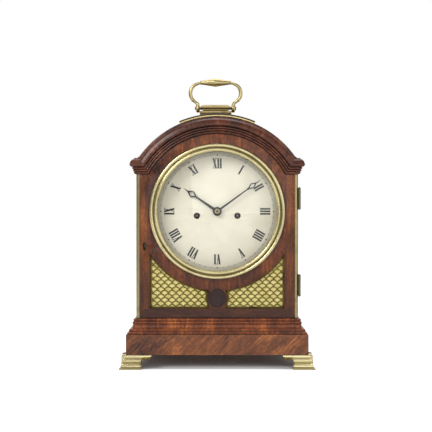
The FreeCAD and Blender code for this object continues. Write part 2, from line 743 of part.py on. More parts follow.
def front_fret(y):
    """Pierced brass fret of the left spandrel, with its solid border."""
    plate = fret_opening(y, REBATE - 0.3)
    room = fret_opening(y, -FRET_BORDER)
    face = pierced(plate, room, on_front(y), -FRET_X1 - 1.0, 0, FRET_Z0, DIAL_Z - 60, SCALE_PITCH)
    return face.extrude(V(0, FRET_THICK, 0))


def door_silks():
    """The cloth behind the two frets."""
    cloth = fret_opening(FACE_Y + FRET_SEAT + FRET_THICK + 0.1, REBATE - 0.3).extrude(V(0, 0.6, 0))
    return group(cloth, mirrored(cloth))


def side_fret():
    """Pierced brass fret of the left side, with larger scales than the door's."""
    x = -SIDE_INNER - FRET_SEAT
    plate = side_opening(x, REBATE - 0.3)
    room = side_opening(x, -FRET_BORDER)
    pitch = SIDE_SCALE * SCALE_PITCH
    face = pierced(
        plate, room, on_side(x), SIDE_FRET_Y - pitch, SIDE_FRET_Y + pitch,
        SIDE_FRET_Z0 + 4, SIDE_FRET_Z1, pitch,
    )
    return face.extrude(V(FRET_THICK, 0, 0))


def side_silks():
    x = -SIDE_INNER - FRET_SEAT + FRET_THICK + 0.1
    cloth = side_opening(x, REBATE - 0.3).extrude(V(0.6, 0, 0))
    return group(cloth, mirrored(cloth))


# Lock -----------------------------------------------------------------------------------------
BOLT_TRAVEL = 4.5
BOLT_Y = (-61.0, -59.0)
BOLT_X = (-120.2, -106.0)
NECK_X = (-110.9, -106.9)
HOOK_X = -115.2
HOOK_Y = (-53.1, -50.3)
KEEP_X = -116.2            # free edge of the plate that holds the hook
KEEP_Y = (CASE_FRONT_Y, -53.6)
KEEP_HALF = 8.0


def door_lock():
    """Brass box lock let into the back of the door, hollow for its bolt."""
    case = box(LOCK_X[0], LOCK_X[1], DOOR_BACK_Y - LOCK_THICK, DOOR_BACK_Y, LOCK_Z[0], LOCK_Z[1])
    room = box(BOLT_X[0] - BOLT_TRAVEL - 0.8, BOLT_X[1] + 0.8, BOLT_Y[0] - 0.4, BOLT_Y[1] + 0.4,
               BOLT_Z - 4.6, BOLT_Z + 4.6)
    slot = box(NECK_X[0] - BOLT_TRAVEL - 0.5, NECK_X[1] + 0.5, BOLT_Y[1], DOOR_BACK_Y,
               BOLT_Z - 3.5, BOLT_Z + 3.5)
    front_y = DOOR_BACK_Y - LOCK_THICK
    return case.cut(room).cut(slot).cut(keyhole(front_y, BOLT_Y[0] - front_y, 0))


def lock_bolt():
    """Bolt plate inside the lock, with a hook behind the door that slides behind the keep."""
    plate = box(BOLT_X[0], BOLT_X[1], BOLT_Y[0], BOLT_Y[1], BOLT_Z - 4, BOLT_Z + 4)
    neck = box(NECK_X[0], NECK_X[1], BOLT_Y[1] - 0.5, HOOK_Y[1], BOLT_Z - 3, BOLT_Z + 3)
    hook = box(HOOK_X, NECK_X[1], *HOOK_Y, BOLT_Z - 3, BOLT_Z + 3)
    return joined(plate, neck, hook)


def bolt_keep():
    """Angle on the inside of the left side: the plate in front of the hook, and its foot."""
    z0, z1 = BOLT_Z - KEEP_HALF, BOLT_Z + KEEP_HALF
    plate = box(-SIDE_INNER, KEEP_X, *KEEP_Y, z0, z1)
    foot = box(-SIDE_INNER, -SIDE_INNER + 1.0, KEEP_Y[1] + 0.05, -38.0, z0, z1)
    return [plate, foot]


def keyhole_escutcheon():
    """Brass liner of the keyhole."""
    deep = 4.0
    return keyhole(FACE_Y - 0.3, deep, 0.9).cut(keyhole(FACE_Y - 0.3, deep, 0))


# Hinges ---------------------------------------------------------------------------------------
DOOR_AXIS = (133.8, -74.0)
DOOR_HINGES_Z = ((115.9, 150.0), (257.3, 291.5))
REAR_AXIS = (92.2, 93.3)
REAR_HINGES_Z = ((118.0, 148.0), (248.0, 278.0))
KNUCKLE_R = 2.2
PIN_R = 1.0
PIN_BORE_R = 1.3
KNUCKLE_GAP = 0.2
REAR_KNUCKLE_R = 2.0
REAR_LEAF = 14.0


def thirds(z0, z1):
    third = (z1 - z0) / 3
    return z0 + third, z1 - third


def case_hinge(z0, z1):
    """Side leaf of a front hinge with its two outer knuckles and the pin."""
    x, y = DOOR_AXIS
    low, high = thirds(z0, z1)
    leaf = box(TRUNK_HALF, x, CASE_FRONT_Y, -33.0, z0, z1)
    arms = [box(TRUNK_HALF + 0.3, x, y, CASE_FRONT_Y, a, b) for a, b in ((z0, low), (high, z1))]
    knuckles = [rod_z(KNUCKLE_R, a, b, x, y) for a, b in ((z0, low), (high, z1))]
    return joined(leaf, *arms, *knuckles, rod_z(PIN_R, z0, z1, x, y))


def door_hinge(z0, z1):
    """Door leaf of a front hinge with its middle knuckle."""
    x, y = DOOR_AXIS
    low, high = thirds(z0, z1)
    low, high = low + KNUCKLE_GAP, high - KNUCKLE_GAP
    leaf = box(TRUNK_HALF, x - 0.3, y, DOOR_BACK_Y - 1.5, low, high)
    return joined(leaf, rod_z(KNUCKLE_R, low, high, x, y)).cut(rod_z(PIN_BORE_R, z0, z1, x, y))


def frame_hinge(z0, z1):
    """Frame leaf of a rear hinge with two knuckles and the pin."""
    x, y = REAR_AXIS
    low, high = thirds(z0, z1)
    leaf = box(x + REAR_KNUCKLE_R + 0.4, x + REAR_LEAF, BACK_Y, BACK_Y + 1.3, z0, z1)
    knuckles = [
        joined(
            rod_z(REAR_KNUCKLE_R, a, b, x, y),
            box(x, x + REAR_KNUCKLE_R + 0.4, BACK_Y + 0.3, BACK_Y + 1.3, a, b),
        )
        for a, b in ((z0, low), (high, z1))
    ]
    return joined(leaf, *knuckles, rod_z(PIN_R, z0, z1, x, y))


def rear_door_hinge(z0, z1):
    x, y = REAR_AXIS
    low, high = thirds(z0, z1)
    low, high = low + KNUCKLE_GAP, high - KNUCKLE_GAP
    leaf = box(x - REAR_LEAF, x - 1.0, BACK_Y, BACK_Y + 1.3, low, high)
    web = box(x - 1.0, x, BACK_Y + 0.3, BACK_Y + 1.3, low, high)
    knuckle = rod_z(REAR_KNUCKLE_R, low, high, x, y)
    return joined(leaf, web, knuckle).cut(rod_z(PIN_BORE_R, z0, z1, x, y))


# Rear door ------------------------------------------------------------------------------------
REAR_STILE = 20.0
BUTTON_X = -98.0
BUTTON_Z = 210.0


def rear_door_frame():
    y = BACK_Y - REAR_THICK
    board = rear_opening(y, FIT).extrude(V(0, REAR_THICK, 0))
    light = rear_opening(y, FIT + REAR_STILE).extrude(V(0, REAR_THICK, 0))
    rebate = rear_opening(y, FIT + REAR_STILE - 4).extrude(V(0, 5, 0))
    return board.cut(light).cut(rebate)


def rear_door_glass():
    return rear_opening(BACK_Y - REAR_THICK + 2.5, FIT + REAR_STILE - 3.7).extrude(V(0, 2.5, 0))


def rear_catch():
    """Brass turn-button on the frame; it stands upright when it is free of the door."""
    x, z = BUTTON_X, BUTTON_Z
    button = outline(
        on_front(BACK_Y + 0.4),
        (x - 3.5, z), (x - 3.0, z - 17), ((x, z - 19.5), (x + 3.0, z - 17)),
        (x + 3.5, z), ((x, z + 4.5), (x - 3.5, z)),
    ).extrude(V(0, 2.4, 0))
    return button.cut(rod_y(1.9, BACK_Y, BACK_Y + 4, BUTTON_X, BUTTON_Z))


def catch_screw():
    shank = rod_y(1.6, BACK_Y, BACK_Y + 3.2, BUTTON_X, BUTTON_Z)
    head = rod_y(3.0, BACK_Y + 3.2, BACK_Y + 4.6, BUTTON_X, BUTTON_Z)
    return joined(shank, head)


# Movement: plates and what they carry ---------------------------------------------------------
FRONT_PLATE_Y = (-24.0, -21.5)
BACK_PLATE_Y = (36.0, 38.5)
PLATE_HALF = 72.0
PLATE_Z = (160.0, 325.5)
ARBOR_Y = (FRONT_PLATE_Y[1] + 0.3, BACK_PLATE_Y[0] - 0.3)
ARBOR_R = 1.6

DIAL_Y = (-53.0, -51.5)
FUSEE_X = 33.5
FUSEE_Z = DIAL_Z - 7.3
BARREL_X = 38.0
BARREL_Z = DIAL_Z - 62.0
BARREL_R = 25.0
SQUARE_HALF = 2.2          # winding squares
EASE = 0.25                # gear centres stand this much further apart than their pitch circles


def beside(origin, distance, degrees):
    """A point at that distance from origin, in the plane of the plates."""
    turn = math.radians(degrees)
    return origin[0] + distance * math.cos(turn), origin[1] + distance * math.sin(turn)


def direction(origin, target):
    return math.degrees(math.atan2(target[1] - origin[1], target[0] - origin[0]))


def centres(module, *teeth):
    """Distance between the arbors of two gears of that module."""
    return module * sum(teeth) / 2 + EASE


CENTRE = (0.0, DIAL_Z)
GOING_FUSEE = (FUSEE_X, FUSEE_Z)
STRIKE_FUSEE = (-FUSEE_X, FUSEE_Z)

GREAT_TEETH, CENTRE_TEETH, THIRD_TEETH, PINION = 48, 48, 48, 6
STRIKE_GREAT_TEETH, PIN_WHEEL_TEETH, GATHERING_TEETH = 42, 36, 36
CANNON_TEETH, MINUTE_TEETH, HOUR_TEETH = 12, 24, 36
ESCAPE_TEETH = 30

GREAT_MODULE = 2 * (math.dist(CENTRE, GOING_FUSEE) - EASE) / (GREAT_TEETH + PINION)
CENTRE_MODULE, THIRD_MODULE = 0.98, 0.73
STRIKE_MODULE, PIN_MODULE, GATHERING_MODULE = 1.29, 0.96, 0.83
CANNON_MODULE = 0.9
HOUR_MODULE = CANNON_MODULE * (CANNON_TEETH + MINUTE_TEETH) / (PINION + HOUR_TEETH)

THIRD = beside(CENTRE, centres(CENTRE_MODULE, CENTRE_TEETH, PINION), 60)
ESCAPE = (0.0, THIRD[1] + math.sqrt(centres(THIRD_MODULE, THIRD_TEETH, PINION) ** 2 - THIRD[0] ** 2))
PALLET = (0.0, DIAL_Z + 60.0)
PIN_ARBOR = beside(STRIKE_FUSEE, centres(STRIKE_MODULE, STRIKE_GREAT_TEETH, PINION), 80)
GATHERING = beside(PIN_ARBOR, centres(PIN_MODULE, PIN_WHEEL_TEETH, PINION), 115)
FLY = beside(GATHERING, centres(GATHERING_MODULE, GATHERING_TEETH, PINION), 30)
MINUTE_STUD = beside(CENTRE, centres(CANNON_MODULE, CANNON_TEETH, MINUTE_TEETH), 135)

GREAT_Y = (24.0, 26.5)
CENTRE_Y = (31.5, 33.0)
THIRD_Y = (0.0, 1.5)
ESCAPE_Y = (18.0, 19.2)
PIN_WHEEL_Y = (-8.0, -6.5)
GATHERING_Y = (6.0, 7.5)
MOTION_Y = (-33.0, -31.5)
HOUR_Y = (-40.0, -38.5)


def toothed(at, teeth, module, y0, y1, tooth_at, spokes=0, hub=0.0):
    """A wheel or pinion of pointed teeth, one of them at the angle tooth_at, with spokes if asked."""
    radius = module * teeth / 2
    tip, root = radius + 0.8 * module, radius - 1.1 * module
    place = on_front(y0)
    points = []
    for k in range(teeth):
        for r, half_step in ((tip, 0), (root, 1)):
            points.append(beside(at, r, tooth_at + (k + half_step / 2) * 360 / teeth))
    face = Part.Face(Part.makePolygon([place(*p) for p in points + points[:1]]))
    if spokes:
        windows = []
        inner, outer = hub + 2.0, root - 2.6
        for k in range(spokes):
            middle = 360 / spokes * (k + 0.5)
            near, far = 360 / spokes / 2 - 70 / inner, 360 / spokes / 2 - 70 / outer
            corners = [(inner, -near), (outer, -far), (outer, far), (inner, near)]
            window = [place(*beside(at, r, middle + turn)) for r, turn in corners]
            windows.append(Part.Face(Part.makePolygon(window + window[:1])))
        face = face.cut(Part.makeCompound(windows)).Faces[0]
    return face.extrude(V(0, y1 - y0, 0))


def facing(at, target, teeth, gap=False):
    """The angle that sets a tooth, or a gap, of a gear at `at` towards `target`."""
    return direction(at, target) + (180.0 / teeth if gap else 0.0)


def pinion(at, driver, module, y0, y1, leaves=PINION):
    return toothed(at, leaves, module, y0, y1, facing(at, driver, leaves, gap=True))


def arbor(at, y0=ARBOR_Y[0], y1=ARBOR_Y[1], radius=ARBOR_R):
    return rod_y(radius, y0, y1, *at)


def front_plate():
    plate = box(-PLATE_HALF, PLATE_HALF, *FRONT_PLATE_Y, *PLATE_Z)
    for at in (CENTRE, GOING_FUSEE, STRIKE_FUSEE):
        plate = plate.cut(rod_y(3.6, *FRONT_PLATE_Y, *at))
    return plate


def back_plate():
    plate = box(-PLATE_HALF, PLATE_HALF, *BACK_PLATE_Y, *PLATE_Z)
    return plate.cut(rod_y(6.0, *BACK_PLATE_Y, *PALLET))


def plate_pillars():
    spots = [(-66.5, 167), (66.5, 167), (0, 168), (-66.5, 318), (66.5, 318)]
    return group(*[rod_y(4.0, FRONT_PLATE_Y[1], BACK_PLATE_Y[0], x, z) for x, z in spots])


def dial_plate():
    """Painted iron dial with its hole for the hands and two winding holes."""
    disc = rod_y(DIAL_R, *DIAL_Y, sides=BEZEL_PANELS)
    for at, radius in ((CENTRE, 5.0), (GOING_FUSEE, 5.2), (STRIKE_FUSEE, 5.2)):
        disc = disc.cut(rod_y(radius, *DIAL_Y, *at, sides=12))
    return disc


def dial_feet():
    spots = [(-55, DIAL_Z + 45), (55, DIAL_Z + 45), (0, DIAL_Z - 80)]
    return group(*[rod_y(2.5, DIAL_Y[1], FRONT_PLATE_Y[0], x, z) for x, z in spots])


SEAT_Z = (150.0, PLATE_Z[0])


def seat_board():
    """Oak board that the movement stands on."""
    return box(-SIDE_INNER, SIDE_INNER, -30, 42, *SEAT_Z)


def seat_rails():
    rail = box(-SIDE_INNER, -SIDE_INNER + 11, -44, 60, SEAT_Z[0] - 14, SEAT_Z[0])
    return group(rail, mirrored(rail))


PENDULUM_Y = 48.0


def backcock():
    """Brass cock behind the back plate, which the pendulum hangs from."""
    z = PALLET[1]
    leg = box(-18, -12, BACK_PLATE_Y[1], 53, z - 3, z + 9)
    bridge = box(-18, 18, 53, 55.5, z - 5, z + 11)
    chop = box(-3, 3, PENDULUM_Y - 2.5, 53, z + 0.4, z + 8)
    return joined(bridge, leg, mirrored(leg), chop)


BELL_Y = 8.0
BELL_TOP_Z = 368.0
BELL_R = 34.0


def bell():
    """Bell metal, open below."""
    top = BELL_TOP_Z
    outside = chain(
        (2.5, top), (17.0, top - 1.2), ((26.0, top - 8.0), (30.0, top - 18.0)), (BELL_R, top - 24)
    )
    inside = [(31.6, top - 24), (27.8, top - 17.0), (23.8, top - 9.0), (15.6, top - 3.8), (2.5, top - 2.6)]
    return turned(about_z(0, BELL_Y), 16, outside + inside)


def bell_standard():
    """Strap from the back plate, up behind the bell's rim and over to the bell's nut."""
    half, thick = 5.0, 2.6
    y = BELL_Y + BELL_R + 1.5
    foot_z, top_z = PLATE_Z[1] - 3.0, 379.0
    under_z = top_z - thick
    foot = box(-half, half, BACK_PLATE_Y[1], y, foot_z, PLATE_Z[1])
    strap = box(-half, half, y, y + thick, foot_z, top_z)
    arm = box(-half, half, BELL_Y - half, y, under_z, top_z)
    stud = rod_z(2.4, BELL_TOP_Z - 7, under_z, 0, BELL_Y)
    collar = rod_z(5.0, BELL_TOP_Z, under_z, 0, BELL_Y)
    nut = rod_z(4.6, BELL_TOP_Z - 7, BELL_TOP_Z - 2.8, 0, BELL_Y)
    return joined(foot, strap, arm, collar, stud, nut)


MINUTE_STUD_R = 1.3


def minute_stud():
    return rod_y(MINUTE_STUD_R, -42.0, FRONT_PLATE_Y[0], *MINUTE_STUD)


# Movement: going train ------------------------------------------------------------------------
def winding_arbor(at):
    """Fusee arbor, squared at the front for the key."""
    x, z = at
    round_part = rod_y(2.6, -26.0, ARBOR_Y[1], x, z)
    square = box(x - SQUARE_HALF, x + SQUARE_HALF, -52.2, -26.0, z - SQUARE_HALF, z + SQUARE_HALF)
    return joined(round_part, square)


FUSEE_GROOVES = 4
FUSEE_PANELS = 10


def fusee(at):
    """Fusee cone: its radius falls towards the front, and its groove is drawn as turned steps."""
    y_back, y_front, r_back, r_front = 22.0, -14.0, 21.0, 9.5
    step = (y_back - y_front) / FUSEE_GROOVES
    points = [(2.6, y_back), (r_back, y_back)]
    for k in range(FUSEE_GROOVES):
        share = (k + 1) / FUSEE_GROOVES
        y = y_back - step * k
        points += [(points[-1][0], y - 0.4 * step), (r_back - (r_back - r_front) * share ** 0.8, y - step)]
    points.append((2.6, y_front))
    return turned(about_y(*at), FUSEE_PANELS, points)


def great_wheel(at, teeth, module, target):
    plate = toothed(at, teeth, module, *GREAT_Y, facing(at, target, teeth))
    return joined(plate, rod_y(7.0, 22.0, GREAT_Y[0], *at)).cut(rod_y(2.6, 20, 30, *at))


def barrel(x):
    """Spring barrel with a lip at each end."""
    y0, y1, r = -16.0, 22.0, BARREL_R
    profile = [
        (3.0, y0), (r + 1.0, y0), (r + 1.0, y0 + 2.5), (r, y0 + 2.5), (r, y1 - 2.5), (r + 1.0, y1 - 2.5),
        (r + 1.0, y1), (3.0, y1),
    ]
    return turned(about_y(x, BARREL_Z), 14, profile)


def barrel_arbors():
    right = rod_y(2.7, FRONT_PLATE_Y[1], BACK_PLATE_Y[0], BARREL_X, BARREL_Z)
    return group(right, mirrored(right))


def centre_wheel():
    """Centre arbor with its wheel, its pinion and the cannon pinion that carries the minute hand."""
    towards_third = facing(CENTRE, THIRD, CENTRE_TEETH)
    wheel = toothed(CENTRE, CENTRE_TEETH, CENTRE_MODULE, *CENTRE_Y, towards_third, 4, 5.0)
    driven = pinion(CENTRE, GOING_FUSEE, GREAT_MODULE, GREAT_Y[0] - 2, GREAT_Y[1] + 2)
    rod = arbor(CENTRE, MINUTE_HAND_Y)
    cannon = toothed(
        CENTRE, CANNON_TEETH, CANNON_MODULE, MOTION_Y[0] - 1, MOTION_Y[1] + 1,
        facing(CENTRE, MINUTE_STUD, CANNON_TEETH),
    )
    pipe = rod_y(CANNON_PIPE_R, MINUTE_HAND_Y, MOTION_Y[1] + 3, *CENTRE)
    return joined(rod, wheel, driven, cannon, pipe)


def third_wheel():
    towards_escape = facing(THIRD, ESCAPE, THIRD_TEETH)
    wheel = toothed(THIRD, THIRD_TEETH, THIRD_MODULE, *THIRD_Y, towards_escape, 4, 4.0)
    driven = pinion(THIRD, CENTRE, CENTRE_MODULE, CENTRE_Y[0] - 2, CENTRE_Y[1] + 2)
    return joined(arbor(THIRD), wheel, driven)


ESCAPE_R = 15.5


def escape_wheel():
    """Wheel of raked teeth under the pallets."""
    place = on_front(ESCAPE_Y[0])
    points = []
    for k in range(ESCAPE_TEETH):
        start = 360 / ESCAPE_TEETH * k
        points += [beside(ESCAPE, ESCAPE_R - 1.8, start), beside(ESCAPE, ESCAPE_R, start + 1.2)]
    disc = Part.Face(Part.makePolygon([place(*p) for p in points + points[:1]]))
    disc = disc.extrude(V(0, ESCAPE_Y[1] - ESCAPE_Y[0], 0))
    driven = pinion(ESCAPE, THIRD, THIRD_MODULE, THIRD_Y[0] - 2, THIRD_Y[1] + 2)
    return joined(arbor(ESCAPE), disc, driven)


def pallets():
    """Anchor, its arbor, and the crutch that reaches down behind the plate to the pendulum."""
    x, z = PALLET
    r0, r1 = ESCAPE_R + 1.6, ESCAPE_R + 4.6
    s = math.sqrt(0.5)
    wheel_z = ESCAPE[1]
    band = outline(
        on_front(ESCAPE_Y[0] - 0.5),
        (-r0 * s, wheel_z + r0 * s), ((0, wheel_z + r0), (r0 * s, wheel_z + r0 * s)),
        (r1 * s, wheel_z + r1 * s), ((0, wheel_z + r1), (-r1 * s, wheel_z + r1 * s)),
    ).extrude(V(0, 2.2, 0))
    boss = rod_y(3.4, ESCAPE_Y[0] - 0.5, ESCAPE_Y[0] + 1.7, x, z)
    rod = rod_y(ARBOR_R, ARBOR_Y[0], 44.0, x, z)
    crutch = box(-1.2, 1.2, 42.0, 44.0, z - 46, z + 2)
    fork = box(-3.2, 3.2, 42.0, PENDULUM_Y + 2.2, z - 48, z - 46)
    gap = box(-1.55, 1.55, PENDULUM_Y - 2.0, PENDULUM_Y + 3, z - 49, z - 45)
    return joined(rod, band, boss, crutch, fork.cut(gap))


BOB_Z = PALLET[1] - 200.0


def pendulum():
    """Suspension spring, rod, lenticular bob and rating nut."""
    y, z = PENDULUM_Y, PALLET[1]
    strip = box(-2.5, 2.5, y - 0.25, y + 0.25, z - 13, z)
    clip = box(-3.5, 3.5, y - 1.4, y + 1.4, z - 17, z - 12)
    rod = rod_z(1.2, BOB_Z - 29, z - 17, 0, y)
    profile = [(0, y - 5.5), (13, y - 3.9), (22, y - 0.7), (22, y + 0.7), (13, y + 3.9), (0, y + 5.5)]
    bob = turned(about_y(0, BOB_Z), 16, profile)
    nut = rod_z(4.2, BOB_Z - 26.2, BOB_Z - 22.6, 0, y)
    return group(joined(strip, clip, rod.fuse(nut).cut(bob)), bob)


# Hands and motion work ------------------------------------------------------------------------
MINUTE_ANGLE = 54.0        # clockwise from the top: nine minutes past ten
HOUR_ANGLE = 304.5


def hand(y, thick, length, lozenge_at, lozenge_half, boss):
    """A pierced hand that points straight up: tapering stem, open lozenge and point."""
    z = DIAL_Z
    low, high = lozenge_at - lozenge_half, lozenge_at + lozenge_half
    wide = lozenge_half * 0.62
    stem = outline(
        on_front(y),
        (-1.7, z), (1.7, z), (0.9, z + low + 1), (wide, z + lozenge_at), (0.8, z + high), (0, z + length),
        (-0.8, z + high), (-wide, z + lozenge_at), (-0.9, z + low + 1),
    )
    eye = outline(
        on_front(y),
        (0, z + low + 3.2), (wide - 1.9, z + lozenge_at), (0, z + high - 2.8), (-wide + 1.9, z + lozenge_at),
    )
    blade = stem.cut(eye).extrude(V(0, thick, 0))
    return joined(blade, rod_y(boss, y, y + thick))


def turned_to(shape, degrees):
    """The shape turned clockwise, as seen from the front, about the hands' arbor."""
    shape = shape.copy()
    shape.rotate(DIAL_CENTRE, TO_BACK, degrees)
    return shape


HAND_THICK = 0.9
MINUTE_HAND_Y = -60.2
HOUR_HAND_Y = -56.9
CANNON_PIPE_R = 2.2
HOUR_PIPE_R = 3.5


def minute_hand():
    """The minute hand, with its hole fitted to the cannon pipe."""
    y = MINUTE_HAND_Y
    blade = turned_to(hand(y, HAND_THICK, 89.0, 71.5, 6.8, 4.6), MINUTE_ANGLE)
    return blade.cut(rod_y(CANNON_PIPE_R, y, y + HAND_THICK))


def hour_hand():
    """The hour hand, with its hole fitted to the hour wheel's pipe."""
    y = HOUR_HAND_Y
    blade = turned_to(hand(y, HAND_THICK, 67.0, 50.6, 6.8, 6.0), HOUR_ANGLE)
    return blade.cut(rod_y(HOUR_PIPE_R, y, y + HAND_THICK))


def hand_collet():
    """Domed brass washer that holds the minute hand."""
    y = MINUTE_HAND_Y
    return turned(about_y(*CENTRE), 12, [(0, y - 2.4), (2.4, y - 2.0), (4.2, y - 0.7), (4.2, y), (0, y)])


def hour_wheel():
    gap_to_stud = facing(CENTRE, MINUTE_STUD, HOUR_TEETH, gap=True)
    wheel = toothed(CENTRE, HOUR_TEETH, HOUR_MODULE, *HOUR_Y, gap_to_stud)
    pipe = rod_y(HOUR_PIPE_R, HOUR_HAND_Y, HOUR_Y[1] + 1.5, *CENTRE)
    bore = rod_y(CANNON_PIPE_R + 0.4, HOUR_HAND_Y, HOUR_Y[1] + 1.5, *CENTRE)
    return joined(wheel, pipe).cut(bore)


def minute_wheel():
    """Wheel and pinion between the cannon pinion and the hour wheel."""
    gap_to_cannon = facing(MINUTE_STUD, CENTRE, MINUTE_TEETH, gap=True)
    wheel = toothed(MINUTE_STUD, MINUTE_TEETH, CANNON_MODULE, *MOTION_Y, gap_to_cannon)
    leaf_to_hour = facing(MINUTE_STUD, CENTRE, PINION)
    leaves = toothed(MINUTE_STUD, PINION, HOUR_MODULE, HOUR_Y[0] - 0.5, MOTION_Y[0], leaf_to_hour)
    return joined(wheel, leaves).cut(rod_y(MINUTE_STUD_R + 0.3, -45, -25, *MINUTE_STUD))


# Movement: striking train ---------------------------------------------------------------------
def pin_wheel():
    """Wheel with the pins that lift the hammer."""
    wheel = toothed(
        PIN_ARBOR, PIN_WHEEL_TEETH, PIN_MODULE, *PIN_WHEEL_Y, facing(PIN_ARBOR, GATHERING, PIN_WHEEL_TEETH)
    )
    pins = []
    for k in range(8):
        x, z = beside(PIN_ARBOR, 13.5, 45 * k)
        pins.append(box(x - 0.7, x + 0.7, PIN_WHEEL_Y[0] - 3.5, PIN_WHEEL_Y[0], z - 0.7, z + 0.7))
    driven = pinion(PIN_ARBOR, STRIKE_FUSEE, STRIKE_MODULE, GREAT_Y[0] - 2, GREAT_Y[1] + 2)
    return joined(arbor(PIN_ARBOR), wheel, driven, *pins)


def gathering_wheel():
    towards_fly = facing(GATHERING, FLY, GATHERING_TEETH)
    wheel = toothed(GATHERING, GATHERING_TEETH, GATHERING_MODULE, *GATHERING_Y, towards_fly)
    driven = pinion(GATHERING, PIN_ARBOR, PIN_MODULE, PIN_WHEEL_Y[0] - 2, PIN_WHEEL_Y[1] + 2)
    return joined(arbor(GATHERING), wheel, driven)


def fly():
    """Air brake of the striking train."""
    x, z = FLY
    vane = box(x - 11, x + 11, -4.5, 4.5, z - 0.5, z + 0.5)
    driven = pinion(FLY, GATHERING, GATHERING_MODULE, GATHERING_Y[0] - 1.2, GATHERING_Y[1] + 1.5)
    return joined(arbor(FLY, -12, 12, 1.3), vane, driven)


HAMMER = (-58.0, 298.5)
HAMMER_Z = 347.0
HAMMER_Y = (BELL_Y - 1.4, BELL_Y + 1.4)


def bell_hammer():
    """Arbor, arm and head; it rests just clear of the bell's rim."""
    x, z = HAMMER
    tip = -46.0
    arm = outline(
        on_front(HAMMER_Y[0]), (x - 1.6, z), (x + 1.6, z), (tip + 1.2, HAMMER_Z), (tip - 1.2, HAMMER_Z)
    ).extrude(V(0, HAMMER_Y[1] - HAMMER_Y[0], 0))
    head = rod_x(5.0, -49.0, -36.2, BELL_Y, HAMMER_Z)
    return joined(arbor(HAMMER, radius=2.0), arm, head)


# Every piece, by the name a person would use ---------------------------------------------------
def pieces():
    left_fret = front_fret(FACE_Y + FRET_SEAT)
    left_sound_fret = side_fret()
    nodes = {
        "plinth": plinth(),
        "base_board": base_board(),
        "base_moulding": base_moulding(),
        "left_side": left_side(),
        "right_side": mirrored(left_side()),
        "roof": roof(),
        "dial_mask": dial_mask(),
        "back_frame": back_frame(),
        "cornice_front": cornice_front(),
        "cornice_returns": cornice_returns(),
        "roof_pad": roof_pad(),
        "pad_edging": pad_edging(),
        "handle_base": handle_base(),
        "carrying_handle": carrying_handle(),
        "sound_frets": group(left_sound_fret, mirrored(left_sound_fret)),
        "sound_fret_silks": side_silks(),
        "door_frame": door_frame(),
        "door_strips": door_strips(),
        "door_roundel": door_roundel(),
        "bezel": bezel(),
        "dial_glass": dial_glass(),
        "left_front_fret": left_fret,
        "right_front_fret": mirrored(left_fret),
        "front_fret_silks": door_silks(),
        "door_lock": group(door_lock(), keyhole_escutcheon()),
        "lock_bolt": lock_bolt(),
        "door_hinge_leaves": group(*[door_hinge(*z) for z in DOOR_HINGES_Z]),
        "case_door_brasses": group(*[case_hinge(*z) for z in DOOR_HINGES_Z], *bolt_keep()),
        "rear_door_frame": rear_door_frame(),
        "rear_door_glass": rear_door_glass(),
        "rear_door_hinge_leaves": group(*[rear_door_hinge(*z) for z in REAR_HINGES_Z]),
        "back_frame_brasses": group(*[frame_hinge(*z) for z in REAR_HINGES_Z], catch_screw()),
        "rear_catch": rear_catch(),
        "seat_board": group(seat_board(), seat_rails()),
        "movement_plates": group(front_plate(), back_plate()),
        "pillars_and_studs": group(plate_pillars(), dial_feet(), barrel_arbors(), minute_stud()),
        "dial": dial_plate(),
        "back_plate_cocks": group(backcock(), bell_standard()),
        "bell": bell(),
        "going_great_wheel": group(
            winding_arbor(GOING_FUSEE), fusee(GOING_FUSEE),
            great_wheel(GOING_FUSEE, GREAT_TEETH, GREAT_MODULE, CENTRE),
        ),
        "strike_great_wheel": group(
            winding_arbor(STRIKE_FUSEE), fusee(STRIKE_FUSEE),
            great_wheel(STRIKE_FUSEE, STRIKE_GREAT_TEETH, STRIKE_MODULE, PIN_ARBOR),
        ),
        "going_barrel": barrel(BARREL_X),
        "strike_barrel": barrel(-BARREL_X),
        "centre_wheel": group(centre_wheel(), hand_collet()),
        "minute_hand": minute_hand(),
        "hour_wheel": hour_wheel(),
        "hour_hand": hour_hand(),
        "minute_wheel": minute_wheel(),
        "third_wheel": third_wheel(),
        "escape_wheel": escape_wheel(),
        "pallets": pallets(),
        "pendulum": pendulum(),
        "pin_wheel": pin_wheel(),
        "gathering_wheel": gathering_wheel(),
        "fly": fly(),
        "bell_hammer": bell_hammer(),
    }
    nodes.update(feet())
    return nodes


def main():
    os.makedirs("parts", exist_ok=True)
    for name, shape in pieces().items():
        if not shape.isValid():
            print("not valid:", name)
        shape.exportStep(os.path.join("parts", name + ".step"))


main()
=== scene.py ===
"""The looks of an arched bracket clock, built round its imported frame.

+X is to the right of someone facing the dial, +Y goes into the clock and +Z is up. Lengths are
in millimetres; a mesh is made metres where it is written.
"""

import json
import math

import bmesh
import bpy
import numpy as np
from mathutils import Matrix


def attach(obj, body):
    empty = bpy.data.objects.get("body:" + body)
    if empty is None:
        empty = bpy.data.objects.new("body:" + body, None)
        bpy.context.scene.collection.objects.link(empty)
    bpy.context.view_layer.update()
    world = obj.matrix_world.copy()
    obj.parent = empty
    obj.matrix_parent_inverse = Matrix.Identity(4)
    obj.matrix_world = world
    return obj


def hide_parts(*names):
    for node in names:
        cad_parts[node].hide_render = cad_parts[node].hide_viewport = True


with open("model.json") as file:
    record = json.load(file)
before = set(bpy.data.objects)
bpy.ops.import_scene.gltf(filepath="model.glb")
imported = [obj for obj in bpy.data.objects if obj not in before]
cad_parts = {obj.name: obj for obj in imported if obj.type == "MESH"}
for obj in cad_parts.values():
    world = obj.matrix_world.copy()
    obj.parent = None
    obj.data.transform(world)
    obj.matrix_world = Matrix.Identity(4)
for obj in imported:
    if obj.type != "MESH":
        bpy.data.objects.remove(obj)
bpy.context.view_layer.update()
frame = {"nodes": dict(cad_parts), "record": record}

MM = 0.001
DIAL_Z = 253.5
SIGHT_R = 97.5
TRUNK_HALF = 132.0
